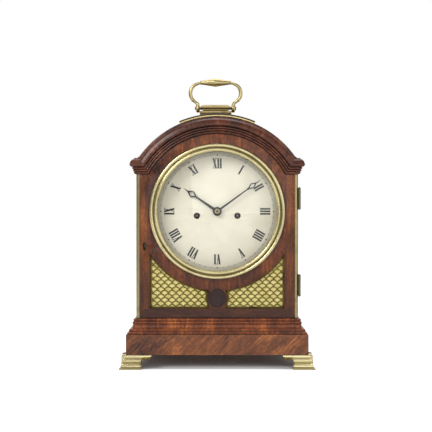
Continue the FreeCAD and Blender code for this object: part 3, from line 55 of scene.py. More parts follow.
PLINTH_HALF = 147.0
FACE_Y = -76.0
BACK_Y = 91.0
DOOR_BACK_Y = -56.0
CASE_FRONT_Y = -55.5
FOOT_H = 22.5
PLINTH_TOP = 55.0
FLOOR_Z = 79.6
SHOULDER_Z = 314.0
CORNICE_H = 28.5
ARCH_R = 126.8
ROOF_R = 151.5
ROOF_INNER_R = 143.5
ROOF_EDGE_Z = 341.5
SIDE_TOP_Z = 333.5
SIDE_INNER = 121.0
PLINTH_FRONT_Y = FACE_Y - (PLINTH_HALF - TRUNK_HALF)


# Shader tree ---------------------------------------------------------------------------------
def tint(red, green, blue):
    """A screen colour, 0 to 255, as the linear colour that a shader takes."""
    shares = [v / 255 for v in (red, green, blue)]
    return tuple(v / 12.92 if v < 0.0405 else ((v + 0.055) / 1.055) ** 2.4 for v in shares) + (1.0,)


def tones(*shades):
    """The dark, middle and light colours of a wood."""
    return tuple(tint(*shade) for shade in shades)


class Wire:
    """A number in the shader tree; sums and products of wires add their own nodes."""

    def __init__(self, paint, socket):
        self.paint, self.socket = paint, socket

    def math(self, operation, *others):
        return self.paint.node("Math", {"operation": operation}, self, *others)

    def __add__(self, other):
        return self.math("ADD", other)

    __radd__ = __add__

    def __sub__(self, other):
        return self.math("SUBTRACT", other)

    def __rsub__(self, other):
        return self.paint.node("Math", {"operation": "SUBTRACT"}, other, self)

    def __mul__(self, other):
        return self.math("MULTIPLY", other)

    __rmul__ = __mul__

    def __pow__(self, other):
        return self.math("POWER", other)

    def __gt__(self, other):
        return self.math("GREATER_THAN", other)

    def __lt__(self, other):
        return self.math("LESS_THAN", other)

    def __abs__(self):
        return self.math("ABSOLUTE")

    def between(self, low, high):
        """0 below low, 1 above high, smooth in between."""
        kind = {"interpolation_type": "SMOOTHSTEP"}
        return self.paint.node("MapRange", kind, Value=self, From_Min=low, From_Max=high)


class Paint:
    """A material or world under construction, with the place on the piece in metres."""

    def __init__(self, name, owner=None):
        self.owner = owner or bpy.data.materials.new(name)
        self.owner.use_nodes = True
        self.tree = self.owner.node_tree
        self.tree.nodes.clear()
        self.place = self.node("TexCoord", out="Object")
        self.x, self.y, self.z = [self.node("SeparateXYZ", None, self.place, out=k) for k in range(3)]

    def node(self, kind, settings=None, *values, out=0, at=None, **named):
        """A node: its settings first, then its sockets, by order, by number (at) or by name."""
        node = self.tree.nodes.new("ShaderNode" + kind)
        for key, value in (settings or {}).items():
            if key == "stops":
                self.set_stops(node.color_ramp, value)
            else:
                setattr(node, key, value)
        sockets = [*enumerate(values), *(at or {}).items()]
        sockets += [(key.replace("_", " "), value) for key, value in named.items()]
        for key, value in sockets:
            if isinstance(value, Wire):
                self.tree.links.new(value.socket, node.inputs[key])
            else:
                node.inputs[key].default_value = value
        return Wire(self, node.outputs[out])

    @staticmethod
    def set_stops(ramp, stops):
        while len(ramp.elements) < len(stops):
            ramp.elements.new(1.0)
        for element, (position, colour) in zip(ramp.elements, stops):
            element.position, element.color = position, colour

    def vector(self, x, y, z):
        return self.node("CombineXYZ", None, x, y, z)

    def scaled(self, vector, size):
        return self.node("VectorMath", {"operation": "MULTIPLY"}, vector, size)

    def noise(self, vector, scale=1.0, detail=3.0, roughness=0.55, distortion=0.0):
        return self.node("TexNoise", None, Vector=vector, Scale=scale, Detail=detail, Roughness=roughness,
                         Distortion=distortion)

    def ramp(self, value, *stops):
        return self.node("ValToRGB", {"stops": stops}, value)

    def mix(self, share, first, second):
        """The first colour turning into the second as share goes from 0 to 1."""
        return self.node("Mix", {"data_type": "RGBA"}, out=2, at={0: share, 6: first, 7: second})

    def bump(self, height, distance, normal=None):
        """A normal tipped by the height, whose full stroke is distance, in millimetres."""
        named = {"Normal": normal} if normal else {}
        return self.node("Bump", None, Height=height, Distance=distance * MM, Strength=1.0, **named)

    def surface(self, **sockets):
        """Ends the tree in a Principled shader and gives the material."""
        shader = self.node("BsdfPrincipled", None, out="BSDF", **sockets)
        return self.ends_in(shader)

    def ends_in(self, shader):
        kind = "World" if isinstance(self.owner, bpy.types.World) else "Material"
        output = self.tree.nodes.new("ShaderNodeOutput" + kind)
        self.tree.links.new(shader.socket, output.inputs["Surface"])
        return self.owner


# Finishes ------------------------------------------------------------------------------------
def wood_grain(paint, way):
    """Coordinates in metres that run along the grain first: way is x, y, z, slant, arch or radial."""
    if way == "slant":
        return paint.vector((paint.x + paint.z) * 0.7, (paint.z - paint.x) * 0.7, paint.y)
    if way in ("arch", "radial"):
        rise = paint.z - DIAL_Z * MM
        radius = (paint.x * paint.x + rise * rise) ** 0.5
        round_arch = rise.math("ARCTAN2", paint.x) * 0.14
        return paint.vector(*((round_arch, radius) if way == "arch" else (radius, round_arch)), paint.y)
    order = {"x": (paint.x, paint.z, paint.y), "y": (paint.y, paint.z, paint.x),
             "z": (paint.z, paint.x, paint.y)}
    return paint.vector(*order[way])


def wood_colours(paint, grain, tones, flame, shift=0.0):
    """Colour and pores of polished hardwood: clouds, ribbons along the grain, streaks and pores."""
    dark, middle, light = tones
    moved = paint.node("VectorMath", {"operation": "ADD"}, grain, (shift, shift * 1.7, 0.0))
    clouds = paint.noise(paint.scaled(moved, (9.0, 26.0, 20.0)), detail=2.0, distortion=0.6)
    burr = paint.noise(paint.scaled(moved, (150.0, 260.0, 260.0)), detail=3.0, roughness=0.65,
                       distortion=0.8)
    ribbon = paint.noise(paint.scaled(moved, (16.0, 95.0, 60.0)), detail=3.0, distortion=flame)
    streaks = paint.noise(paint.scaled(moved, (22.0, 520.0, 420.0)), detail=2.0)
    pores = paint.noise(paint.scaled(moved, (150.0, 2400.0, 2400.0)), detail=1.0)
    tone = clouds * 0.5 + ribbon * 0.42 + streaks * 0.12 + burr * 0.34 - 0.21
    colour = paint.ramp(tone, (0.32, dark), (0.5, middle), (0.68, light))
    pits = pores.between(0.60, 0.72)
    colour = paint.mix(pits * 0.45, colour, tint(34, 16, 9))
    return colour, pits, streaks


def shade_and_polish_in_hollows(paint, colour):
    """Painted shade darkens a colour in quirks and corners, where little of the sky is open, together with old
    polish and dust gathered there.
    """
    open_sky = paint.node("AmbientOcclusion", {"samples": 6}, Distance=0.005, out="AO")
    return paint.mix((1 - open_sky.between(0.30, 0.85)) * 0.85, colour, tint(30, 14, 9))


def polished_wood(name, way, tones, flame=1.2, shift=0.0, gloss=0.28):
    paint = Paint(name)
    grain = wood_grain(paint, way)
    colour, pits, streaks = wood_colours(paint, grain, tones, flame, shift)
    # painted shade, with old polish and dust, in the quirks and corners
    colour = shade_and_polish_in_hollows(paint, colour)
    wear = paint.noise(paint.place, scale=34.0, detail=3.0)
    rough = wear * 0.16 + streaks * 0.05 + (gloss - 0.1)
    height = streaks * 0.5 - pits * 0.5
    normal = paint.bump(height, 0.035)
    return paint.surface(
        Base_Color=colour, Roughness=rough, Normal=normal, Coat_Weight=0.16, Coat_Roughness=0.12,
        Specular_IOR_Level=0.35,
    )


DOOR_TONES = tones((44, 18, 6), (98, 46, 14), (158, 86, 30))
CORNICE_TONES = tones((42, 17, 9), (86, 42, 24), (136, 78, 46))
PLINTH_TONES = tones((58, 32, 24), (122, 70, 38), (184, 114, 58))
BASE_TONES = tones((58, 24, 10), (120, 58, 22), (184, 104, 42))
OAK_TONES = tones((112, 80, 48), (150, 112, 70), (176, 138, 92))


def door_wood():
    """Door veneer: upright on the stiles and in the field, level on the bottom rail, with mitres."""
    paint = Paint("door_veneer")
    upright, level = wood_grain(paint, "z"), wood_grain(paint, "x")
    from_edge = TRUNK_HALF * MM - abs(paint.x)
    from_foot = paint.z - DOOR_FOOT * MM
    rail = (from_foot < from_edge) * (from_foot < 14.6 * MM)
    stile = (from_edge < 19.0 * MM) * (1 - rail)
    field, pits, streaks = wood_colours(paint, upright, DOOR_TONES, 2.6, 0.31)
    side, _, _ = wood_colours(paint, upright, tones((56, 24, 7), (114, 58, 17), (158, 90, 32)), 0.8, 0.0)
    foot, _, _ = wood_colours(paint, level, tones((44, 18, 7), (80, 38, 15), (116, 62, 26)), 1.0, 0.12)
    colour = paint.mix(stile, field, side)
    colour = paint.mix(rail, colour, foot)
    mitre = (abs(from_foot - from_edge) < 0.18 * MM) * (from_foot < 14.6 * MM)
    joint = (abs(from_edge - 19.0 * MM) < 0.14 * MM) * (from_foot > 14.6 * MM)
    colour = paint.mix(mitre * 0.8 + joint * 0.5, colour, tint(30, 14, 9))
    # Painted shade: the door's colour darkens towards its foot.
    low = 1 - paint.z.between(0.09, 0.22)
    colour = paint.mix(low * 0.45, colour, tint(44, 20, 10))
    # painted shade, with old polish and dust, in the quirks and corners
    colour = shade_and_polish_in_hollows(paint, colour)
    wear = paint.noise(paint.place, scale=30.0, detail=3.0)
    return paint.surface(
        Base_Color=colour, Roughness=wear * 0.16 + 0.18,
        Normal=paint.bump(streaks * 0.5 - pits * 0.5, 0.035),
        Coat_Weight=0.14, Coat_Roughness=0.12, Specular_IOR_Level=0.35,
    )


def brass(name, bright, dull, rough=0.2, age=0.5, brushed=None, hollows=0.75):
    """Brass with a patchy tarnish that gathers in hollows, fine marks, and soft gloss changes."""
    paint = Paint(name)
    patches = paint.noise(paint.place, scale=48.0, detail=3.0, roughness=0.5)
    specks = paint.noise(paint.place, scale=900.0, detail=2.0)
    shelter = paint.node("AmbientOcclusion", {"samples": 8}, Distance=0.006, out="AO")
    dirt = (1 - shelter.between(0.35, 0.95)) * hollows + patches.between(0.52, 0.78) * age
    dirt = dirt.math("MINIMUM", 1.0)
    colour = paint.mix(dirt, tint(*bright), tint(*dull))
    height = specks * 0.3
    if brushed:
        lines = paint.noise(paint.scaled(paint.place, brushed), detail=2.0)
        height = height + lines * 0.7
    return paint.surface(
        Base_Color=colour, Metallic=1.0, Roughness=patches * 0.12 + dirt * 0.22 + rough,
        Normal=paint.bump(height, 0.012),
    )


def steel(name, colour, rough=0.32):
    """Steel with long faint draw marks that change its shade, gloss and height."""
    paint = Paint(name)
    marks = paint.noise(paint.scaled(paint.place, (900.0, 120.0, 900.0)), detail=2.0)
    bright = tint(*colour)
    shade = paint.mix(marks.between(0.3, 0.7), bright, tuple(v * 0.7 for v in bright[:3]) + (1.0,))
    return paint.surface(Base_Color=shade, Metallic=1.0, Roughness=marks * 0.15 + rough - 0.05,
                         Normal=paint.bump(marks, 0.01))


def dial_paint():
    """Old cream paint: soft mottling, painted shade towards the rim and a painted ring of the bezel's shadow
    and reflection, hairline crazing and faint specks.
    """
    paint = Paint("dial_paint")
    cloud = paint.noise(paint.place, scale=26.0, detail=4.0)
    radius = (paint.x * paint.x + (paint.z - DIAL_Z * MM) ** 2.0) ** 0.5
    colour = paint.mix(cloud.between(0.3, 0.7), tint(242, 236, 216), tint(234, 227, 205))
    # Painted shade towards the rim, under the bezel's edge.
    colour = paint.mix(radius.between(0.088, 0.100) * 0.25, colour, tint(212, 204, 178))
    # A painted ring of the bezel's shadow and reflection, just inside the sight.
    colour = paint.mix(radius.between(0.0915, 0.0930) * 0.4, colour, tint(168, 164, 140))
    specks = paint.noise(paint.place, scale=650.0, detail=1.0).between(0.70, 0.76)
    colour = paint.mix(specks * 0.3, colour, tint(150, 138, 108))
    net = paint.node("TexVoronoi", {"feature": "DISTANCE_TO_EDGE"}, Vector=paint.place, Scale=170.0)
    hair = 1 - net.between(0.0, 0.02)
    colour = paint.mix(hair * 0.12, colour, tint(150, 140, 115))
    return paint.surface(Base_Color=colour, Roughness=cloud * 0.1 + 0.32,
                         Normal=paint.bump(cloud - hair * 0.2, 0.02))


def black_paint():
    """Black enamel of the chapters, thinner and browner where it is worn."""
    paint = Paint("numeral_black")
    worn = paint.noise(paint.place, scale=420.0, detail=3.0)
    colour = paint.mix(worn.between(0.6, 0.85) * 0.3, tint(14, 13, 12), tint(56, 50, 42))
    return paint.surface(Base_Color=colour, Roughness=worn * 0.2 + 0.35)


def blued_steel():
    """Hand steel blued almost to black, in soft patches."""
    paint = Paint("blued_hands")
    marks = paint.noise(paint.place, scale=300.0, detail=2.0)
    colour = paint.mix(marks.between(0.35, 0.65), tint(26, 25, 28), tint(44, 42, 46))
    return paint.surface(Base_Color=colour, Metallic=0.6, Roughness=marks * 0.15 + 0.25)


def clear_glass(name, gloss):
    """See-through, with the sheen of the glass's own reflection at each angle."""
    paint = Paint(name)
    outside = 1 - paint.node("NewGeometry", None, out="Backfacing")
    sheen = paint.node("Fresnel", None, IOR=1.45) * outside
    dust = paint.noise(paint.place, scale=120.0, detail=3.0)
    clear = paint.node("BsdfTransparent", None, Color=(0.985, 0.99, 0.985, 1.0))
    mirror = paint.node("BsdfAnisotropic", None, Color=(1.0, 1.0, 1.0, 1.0), Roughness=0.03)
    share = (sheen * gloss + dust * 0.012).math("MINIMUM", 1.0)
    return paint.ends_in(paint.node("MixShader", None, share, clear, mirror))


def silk(name, bright, dull):
    """Gold cloth in a plain weave, faded in places."""
    paint = Paint(name)
    pitch = 2 * math.pi / (0.62 * MM)
    along = paint.x + paint.y
    warp = (along * pitch).math("SINE")
    weft = (paint.z * pitch).math("SINE")
    weave = (warp * weft) * 0.5 + 0.5
    faded = paint.noise(paint.place, scale=110.0, detail=2.0)
    colour = paint.mix(faded.between(0.42, 0.66), tint(*bright), tint(*dull))
    colour = paint.mix(weave * 0.35, colour, tint(150, 128, 62))
    return paint.surface(Base_Color=colour, Roughness=0.62, Normal=paint.bump(weave, 0.12),
                         Sheen_Weight=0.25)


# Meshes --------------------------------------------------------------------------------------
def cells(rows, columns, wrap_rows=False, wrap_columns=False):
    """The four-sided faces of a grid of points, row after row."""
    r = np.arange(rows if wrap_rows else rows - 1)[:, None]
    c = np.arange(columns if wrap_columns else columns - 1)[None, :]
    r1, c1 = (r + 1) % rows, (c + 1) % columns
    corners = [r * columns + c, r * columns + c1, r1 * columns + c1, r1 * columns + c]
    return np.stack(corners, axis=-1).reshape(-1, 4).tolist()


def tidy(mesh, crease):
    """Closes seams and poles, turns faces outwards and shades smooth up to the crease angle."""
    form = bmesh.new()
    form.from_mesh(mesh)
    bmesh.ops.remove_doubles(form, verts=form.verts, dist=1e-6)
    bmesh.ops.dissolve_degenerate(form, edges=form.edges, dist=1e-7)
    bmesh.ops.recalc_face_normals(form, faces=form.faces)
    form.to_mesh(mesh)
    form.free()
    mesh.shade_smooth()
    mesh.set_sharp_from_angle(angle=math.radians(crease))


def show(name, mesh, material, body, stands_for=(), slot=None, crease=32, round_edge=0.0):
    """Puts a mesh into the scene as a piece that rides on a body and may stand for frame nodes."""
    tidy(mesh, crease)
    piece = bpy.data.objects.new(name, mesh)
    bpy.context.scene.collection.objects.link(piece)
    mesh.materials.clear()
    mesh.materials.append(material)
    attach(piece, body)
    if stands_for:
        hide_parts(*stands_for)
    if round_edge:
        bevel = piece.modifiers.new("soft_edge", "BEVEL")
        bevel.width, bevel.segments = round_edge * MM, 2
        bevel.limit_method, bevel.angle_limit = "ANGLE", math.radians(38)
        bevel.harden_normals = True
    return piece


def solid(name, points, faces, material, body, **more):
    """A piece from points in millimetres and their faces."""
    mesh = bpy.data.meshes.new(name)
    mesh.from_pydata((np.asarray(points, dtype=float).reshape(-1, 3) * MM).tolist(), [], faces)
    return show(name, mesh, material, body, **more)


def laid(u, v, w, axis):
    """Points whose w lies along the axis, and u and v along the other two in order."""
    return np.stack({"x": (w, u, v), "y": (u, w, v), "z": (u, v, w)}[axis], axis=-1)


def capped(grid, wrap=False):
    """Points and faces of closed rings, row after row; both ends are filled unless they meet."""
    rows, columns = grid.shape[:2]
    faces = cells(rows, columns, wrap_rows=wrap, wrap_columns=True)
    if not wrap:
        faces += [list(range(columns)), list(range((rows - 1) * columns, rows * columns))]
    return grid.reshape(-1, 3), faces


def carried(name, stations, material, body, **more):
    """A closed profile carried through stations, as an array of (station, point, xyz)."""
    return solid(name, *capped(stations), material, body, **more)


def swung(profile, centre, axis, steps):
    """Points and faces of a profile of (radius, place along the axis), in a full circle."""
    profile = np.asarray(profile, dtype=float)
    turn = np.linspace(0, 2 * np.pi, steps, endpoint=False)[:, None]
    radius, along = profile[None, :, 0], profile[None, :, 1]
    u, v, w = radius * np.cos(turn), radius * np.sin(turn), along + 0 * turn
    stations = laid(u, v, w, axis) + np.asarray(centre, dtype=float)
    closed = profile[0, 0] > 0.01
    return stations.reshape(-1, 3), cells(steps, len(profile), wrap_rows=True, wrap_columns=closed)


def turned(name, profile, centre, axis, material, body, steps=160, **more):
    """A piece whose profile is swung round an axis."""
    return solid(name, *swung(profile, centre, axis, steps), material, body, **more)


def arc(start, via, end, count=10):
    """Points of the circle through three points, from start to end, without the start."""
    (ax, ay), (bx, by), (cx, cy) = start, via, end
    area = 2 * (ax * (by - cy) + bx * (cy - ay) + cx * (ay - by))
    a2, b2, c2 = ax * ax + ay * ay, bx * bx + by * by, cx * cx + cy * cy
    x = (a2 * (by - cy) + b2 * (cy - ay) + c2 * (ay - by)) / area
    y = (a2 * (cx - bx) + b2 * (ax - cx) + c2 * (bx - ax)) / area
    first = math.atan2(ay - y, ax - x)
    sweep = (math.atan2(cy - y, cx - x) - first) % (2 * math.pi)
    if (math.atan2(by - y, bx - x) - first) % (2 * math.pi) > sweep:
        sweep -= 2 * math.pi
    turn = first + sweep * np.arange(1, count + 1) / count
    radius = math.hypot(ax - x, ay - y)
    return [(x + radius * math.cos(t), y + radius * math.sin(t)) for t in turn]


def chain(start, *steps, count=10):
    """A point path: a step is a point, or (via, end) for an arc."""
    points = [start]
    for step in steps:
        points += arc(points[-1], *step, count) if isinstance(step[0], tuple) else [step]
    return points


def circle(x, z, radius, count=120):
    """Points (x + r cos t, z + r sin t) for even steps of t."""
    turn = np.linspace(0, 2 * np.pi, count, endpoint=False)
    return np.stack([x + radius * np.cos(turn), z + radius * np.sin(turn)], axis=-1)


def board(name, loops, facing, near, far, material, body, edge=0.35, **more):
    """A flat board cut to closed loops, with softened edges, between near and far along its facing.

    The loops lie in the plane across the facing: (x, z) for y, (y, z) for x and (x, y) for z.
    """
    curve = bpy.data.curves.new(name, "CURVE")
    curve.dimensions, curve.fill_mode = "2D", "BOTH"
    for loop in loops:
        loop = np.asarray(loop, dtype=float)
        spline = curve.splines.new("POLY")
        spline.points.add(len(loop) - 1)
        flat = np.column_stack([loop * MM, np.zeros(len(loop)), np.ones(len(loop))])
        spline.points.foreach_set("co", flat.ravel())
        spline.use_cyclic_u = True
    curve.bevel_depth, curve.bevel_resolution = edge * MM, 1
    curve.offset = -edge * MM
    curve.extrude = (far - near) / 2 * MM - edge * MM
    holder = bpy.data.objects.new(name, curve)
    bpy.context.scene.collection.objects.link(holder)
    mesh = bpy.data.meshes.new_from_object(holder.evaluated_get(bpy.context.evaluated_depsgraph_get()))
    bpy.data.objects.remove(holder)
    flat = np.empty(len(mesh.vertices) * 3)
    mesh.vertices.foreach_get("co", flat)
    u, v, w = flat.reshape(-1, 3).T
    mesh.vertices.foreach_set("co", laid(u, v, w + (near + far) / 2 * MM, facing).ravel())
    return show(name, mesh, material, body, **more)


def block(x0, x1, y0, y1, z0, z1):
    """Corners and faces of an upright box."""
    points = [(x, y, z) for x in (x0, x1) for y in (y0, y1) for z in (z0, z1)]
    faces = [[0, 1, 3, 2], [4, 6, 7, 5], [0, 4, 5, 1], [2, 3, 7, 6], [0, 2, 6, 4], [1, 5, 7, 3]]
    return points, faces


def merged(shapes):
    """Several (points, faces) as one."""
    points, faces = [], []
    for some_points, some_faces in shapes:
        faces += [[k + len(points) for k in face] for face in some_faces]
        points += [tuple(p) for p in some_points]
    return points, faces


def softened(node, material, edge):
    """A copy of a frame node with its edges rounded, in a finish of its own."""
    mesh = frame["nodes"][node].data.copy()
    return show(node + "_finished", mesh, material, NODE_BODY[node], stands_for=(node,), round_edge=edge)


def flip_x(points):
    """The mirror image of a loop, run the other way so that it still turns left."""
    return [(-x, y) for x, y in reversed(points)]


NODE_BODY = {node: body for body, nodes in frame["record"]["behaviour"]["bodies"].items() for node in nodes}


# Case ----------------------------------------------------------------------------------------
def base_mouldings():
    """Two beads with a quirk between them, a hollow, two more beads, up to the floor of the case.

    The profile of (distance out, height) runs along the front and both sides, with mitres.
    """
    out, high = np.array(chain(
        (-1, PLINTH_TOP), (12.4, PLINTH_TOP), (12.4, 55.5), ((13.2, 57.1), (11.7, 58.7)), (9.9, 58.9),
        (9.7, 59.7), ((10.3, 62.2), (7.3, 63.7)), (5.8, 63.9), ((4.4, 66.8), (4.1, 70.2)), (3.5, 70.7),
        ((5.3, 72.9), (3.8, 74.9)), (2.8, 75.2), (2.8, 75.8), ((4.0, 77.5), (2.9, 79.0)), (2.3, 79.2),
        (2.3, FLOOR_Z), (-1, FLOOR_Z),
    )).T
    front_wood = polished_wood("base_moulding_front_wood", "z", BASE_TONES, 1.6, 0.4)
    side_wood = polished_wood("base_moulding_side_wood", "z", BASE_TONES, 1.6, 0.4)
    left, right = [np.stack([side * (TRUNK_HALF + out), FACE_Y - out, high], axis=-1) for side in (-1, 1)]
    carried("base_moulding_front", np.stack([left, right]), front_wood, "case",
            stands_for=("base_moulding",))
    for label, corner in (("left", left), ("right", right)):
        rear = corner * (1, 0, 1) + (0, BACK_Y, 0)
        carried("base_moulding_" + label, np.stack([corner, rear]), side_wood, "case")


def cornice_section(inner):
    """(height, distance out): three reeds, a step, a bold ovolo, a fillet and the weathering."""
    points = [(0.0, inner), (0.0, 1.2)]
    for foot, out in ((0.4, 1.9), (4.1, 3.3), (7.8, 4.6)):
        points += chain((foot, out - 0.7), ((foot + 1.7, out + 1.3), (foot + 3.3, out - 0.1)), count=8)
    points += chain(
        (11.6, 4.3), (12.2, 8.0), ((14.2, 9.5), (17.0, 9.2)), ((21.2, 7.6), (24.0, 4.4)), (24.4, 3.2),
        (25.8, 3.0), (26.6, -2.4), (CORNICE_H, -3.3), (CORNICE_H, inner),
    )
    return np.array(points)


def cornice():
    """The arch is swept about the dial's axis; where it meets a shoulder, radius and height agree."""
    arch_wood = polished_wood("cornice_arch_wood", "radial", CORNICE_TONES, 1.4, 0.2)
    front_wood = polished_wood("cornice_front_wood", "x", CORNICE_TONES, 1.0, 0.5)
    side_wood = polished_wood("cornice_side_wood", "y", CORNICE_TONES, 1.0, 0.7)
    high, out = cornice_section(CASE_FRONT_Y * -1 + FACE_Y).T
    radius, level = ARCH_R + high, SHOULDER_Z + high
    end_x = np.sqrt(radius ** 2 - (level - DIAL_Z) ** 2)
    end_turn = np.arctan2(level - DIAL_Z, end_x)
    share = np.linspace(0, 1, 121)[:, None]
    turn = end_turn + share * (np.pi - 2 * end_turn)
    y = np.broadcast_to(FACE_Y - out, turn.shape)
    arch = np.stack([radius * np.cos(turn), y, DIAL_Z + radius * np.sin(turn)], axis=-1)
    carried("cornice_arch", arch, arch_wood, "case", stands_for=("cornice_front",))
    for label, side in (("left", -1), ("right", 1)):
        inner = np.stack([side * end_x, FACE_Y - out, level], axis=-1)
        outer = np.stack([side * (TRUNK_HALF + np.maximum(out, -20)), FACE_Y - out, level], axis=-1)
        carried(f"cornice_shoulder_{label}", np.stack([inner, outer]), front_wood, "case")
    high, out = cornice_section(-3.4).T
    for label, side in (("left", -1), ("right", 1)):
        x = side * (TRUNK_HALF + out)
        mitre = np.stack([x, FACE_Y - out, SHOULDER_Z + high], axis=-1)
        rear = np.stack([x, BACK_Y + 0 * out, SHOULDER_Z + high], axis=-1)
        more = {"stands_for": ("cornice_returns",)} if side < 0 else {}
        carried(f"cornice_return_{label}", np.stack([mitre, rear]), side_wood, "case", **more)


def arched_loop(foot_z, radius, half, top_z, count=72):
    """The inside outline of the case: straight sides, then an arch about the dial's centre."""
    x = math.sqrt(radius ** 2 - (top_z - DIAL_Z) ** 2)
    return chain((-half, foot_z), (half, foot_z), (half, top_z), (x, top_z),
                 ((0, DIAL_Z + radius), (-x, top_z)),
                 (-half, top_z), count=count)


def rear_loop(shrink):
    """The back door's outline: three straight sides and an arch, all moved inwards."""
    half = 92.0 - shrink
    return chain((-half, 97.0 + shrink), (half, 97.0 + shrink), (half, 298.0),
                 ((0, 352.0 - shrink), (-half, 298.0)), count=40)


def carcase():
    """Plinth, boards, roof and back."""
    plain = polished_wood("case_side_wood", "z", tones((48, 22, 10), (88, 44, 20), (122, 68, 34)), 1.4, 0.9)
    across = polished_wood("board_wood", "x", OAK_TONES, 0.8, 0.6, gloss=0.5)
    plinth_wood = polished_wood("plinth_wood", "slant", PLINTH_TONES, 2.4, 0.15, gloss=0.3)
    softened("plinth", plinth_wood, 0.8)
    softened("base_board", across, 0.4)
    softened("seat_board", across, 0.6)
    opening = [(-20, 186), (44, 186), (44, 286), (-20, 286)]
    for label, side in (("left", -1), ("right", 1)):
        near, far = sorted((side * TRUNK_HALF, side * SIDE_INNER))
        outline = [(CASE_FRONT_Y, FLOOR_Z), (BACK_Y, FLOOR_Z), (BACK_Y, SIDE_TOP_Z),
                   (CASE_FRONT_Y, SIDE_TOP_Z)]
        board(label + "_side_board", [outline, opening], "x", near, far, plain, "case",
              stands_for=(label + "_side",))
    x_out = math.sqrt(ROOF_R ** 2 - (ROOF_EDGE_Z - DIAL_Z) ** 2)
    x_in = math.sqrt(ROOF_INNER_R ** 2 - (SIDE_TOP_Z - DIAL_Z) ** 2)
    outside = chain((-TRUNK_HALF, SIDE_TOP_Z), (-TRUNK_HALF, ROOF_EDGE_Z), (-x_out, ROOF_EDGE_Z),
                    ((0, DIAL_Z + ROOF_R), (x_out, ROOF_EDGE_Z)), (TRUNK_HALF, ROOF_EDGE_Z), count=72)
    under = chain((TRUNK_HALF, SIDE_TOP_Z), (x_in, SIDE_TOP_Z),
                  ((0, DIAL_Z + ROOF_INNER_R), (-x_in, SIDE_TOP_Z)),
                  count=72)
    roof_tones = tones((42, 19, 10), (78, 39, 21), (108, 60, 34))
    roof_wood = polished_wood("roof_wood", "arch", roof_tones, 1.0, 0.4)
    board("roof_board", [outside + under], "y", CASE_FRONT_Y, BACK_Y, roof_wood, "case",
          stands_for=("roof",))
    hook_room = [(-SIDE_INNER, 205.3), (-106.4, 205.3), (-106.4, 187.3), (-SIDE_INNER, 187.3)]
    inside = arched_loop(FLOOR_Z, ROOF_INNER_R, SIDE_INNER, SIDE_TOP_Z)
    board("dial_surround", [inside + hook_room, circle(0, DIAL_Z, 102)], "y", CASE_FRONT_Y, -49.5, plain,
          "case",
          stands_for=("dial_mask",))
    board("back_board", [inside, rear_loop(0)], "y", 79.0, BACK_Y, plain, "case",
          stands_for=("back_frame",))
    door_tones = tones((46, 21, 10), (84, 42, 20), (116, 64, 34))
    back_door_wood = polished_wood("back_door_wood", "z", door_tones, 1.2, 1.4)
    board("back_door_board", [rear_loop(0.6), rear_loop(20.6)], "y", 79.0, BACK_Y, back_door_wood, "rear_door",
          stands_for=("rear_door_frame",), edge=0.8)
    board("back_door_pane", [rear_loop(17.0)], "y", 81.5, 84.0, clear_glass("back_glass", 0.9), "rear_door",
          stands_for=("rear_door_glass",), slot="glass", edge=0.2)


def feet(material):
    """Brass ogee bracket feet: one wing is a profile run along the plinth and mitred at the corner.

    Each wing's outline on its face is cut by moving the lower edge of the run up along its length.
    """
    front = PLINTH_FRONT_Y
    profile = chain(
        (0.0, FOOT_H), (1.8, FOOT_H), ((2.6, 20.0), (2.2, 17.9)), (1.1, 17.4), (1.1, 16.4), (2.6, 16.0),
        ((4.4, 13.2), (2.9, 10.8)), (2.3, 10.4), ((2.9, 9.0), (4.6, 8.3)), ((7.0, 6.6), (7.5, 4.2)),
        (6.6, 3.7), (6.6, 3.1), (9.6, 2.9), (10.0, 2.4), (10.0, 0.0), (0.0, 0.0), count=7,
    )
    out, high = np.array(profile).T
    along = np.concatenate([[0.0, 25.5], np.linspace(25.6, 41.5, 13)])
    lift = np.interp(along, [25.5, 25.6, 33.0, 38.0, 40.0, 41.5], [0, 15.9, 16.6, 16.1, 17.2, 19.4])
    lift[:2] = 0.0
    level = np.maximum(high[None, :], lift[:, None])
    # The ground edge of the run follows the outline, and what lay below it is folded flat against it.
    place = np.where(along[:, None] == 0.0, -out[None, :], along[:, None] + 0 * out[None, :])
    wing_x = -PLINTH_HALF + place
    wing_y = front - out[None, :] + 0 * place
    stations = np.stack([wing_x, wing_y, level], axis=-1)
    for side in (-1, 1):
        for end in (-1, 1):
            name = f"foot_{'front' if end < 0 else 'back'}_{'left' if side < 0 else 'right'}"
            wing = stations * np.array([-side, 1, 1])
            wing[..., 1] *= -end
            other = wing[..., [1, 0, 2]] * np.array([side * end, side * end, 1])
            other[..., 0] += side * (PLINTH_HALF - abs(front))
            other[..., 1] += end * (abs(front) - PLINTH_HALF)
            solid(name + "_bracket", *merged([capped(wing), capped(other)]), material, "case",
                  stands_for=(name,), crease=28)


# Roof pad and handle -------------------------------------------------------------------------
PAD_R = 162.4
PAD_TURN = math.radians(22.5)
PAD_FRONT_Y, PAD_REAR_Y = -46.0, 66.0
HANDLE_X = -2.8
HANDLE_Y = 10.0
PIVOT_Z = 431.7


def curved_slab(name, low_r, high_r, turn, y0, y1, material, **more):
    """A slab between two radii about the dial's axis, out to the same turn each way."""
    angle = np.linspace(-turn, turn, 49)
    section = np.array([(low_r, y0), (high_r, y0), (high_r, y1), (low_r, y1)])
    radius, y = section.T
    stations = np.stack([
        radius * np.sin(angle)[:, None], np.broadcast_to(y, (49, 4)),
        DIAL_Z + radius * np.cos(angle)[:, None],
    ], axis=-1)
    return carried(name, stations, material, "case", **more)


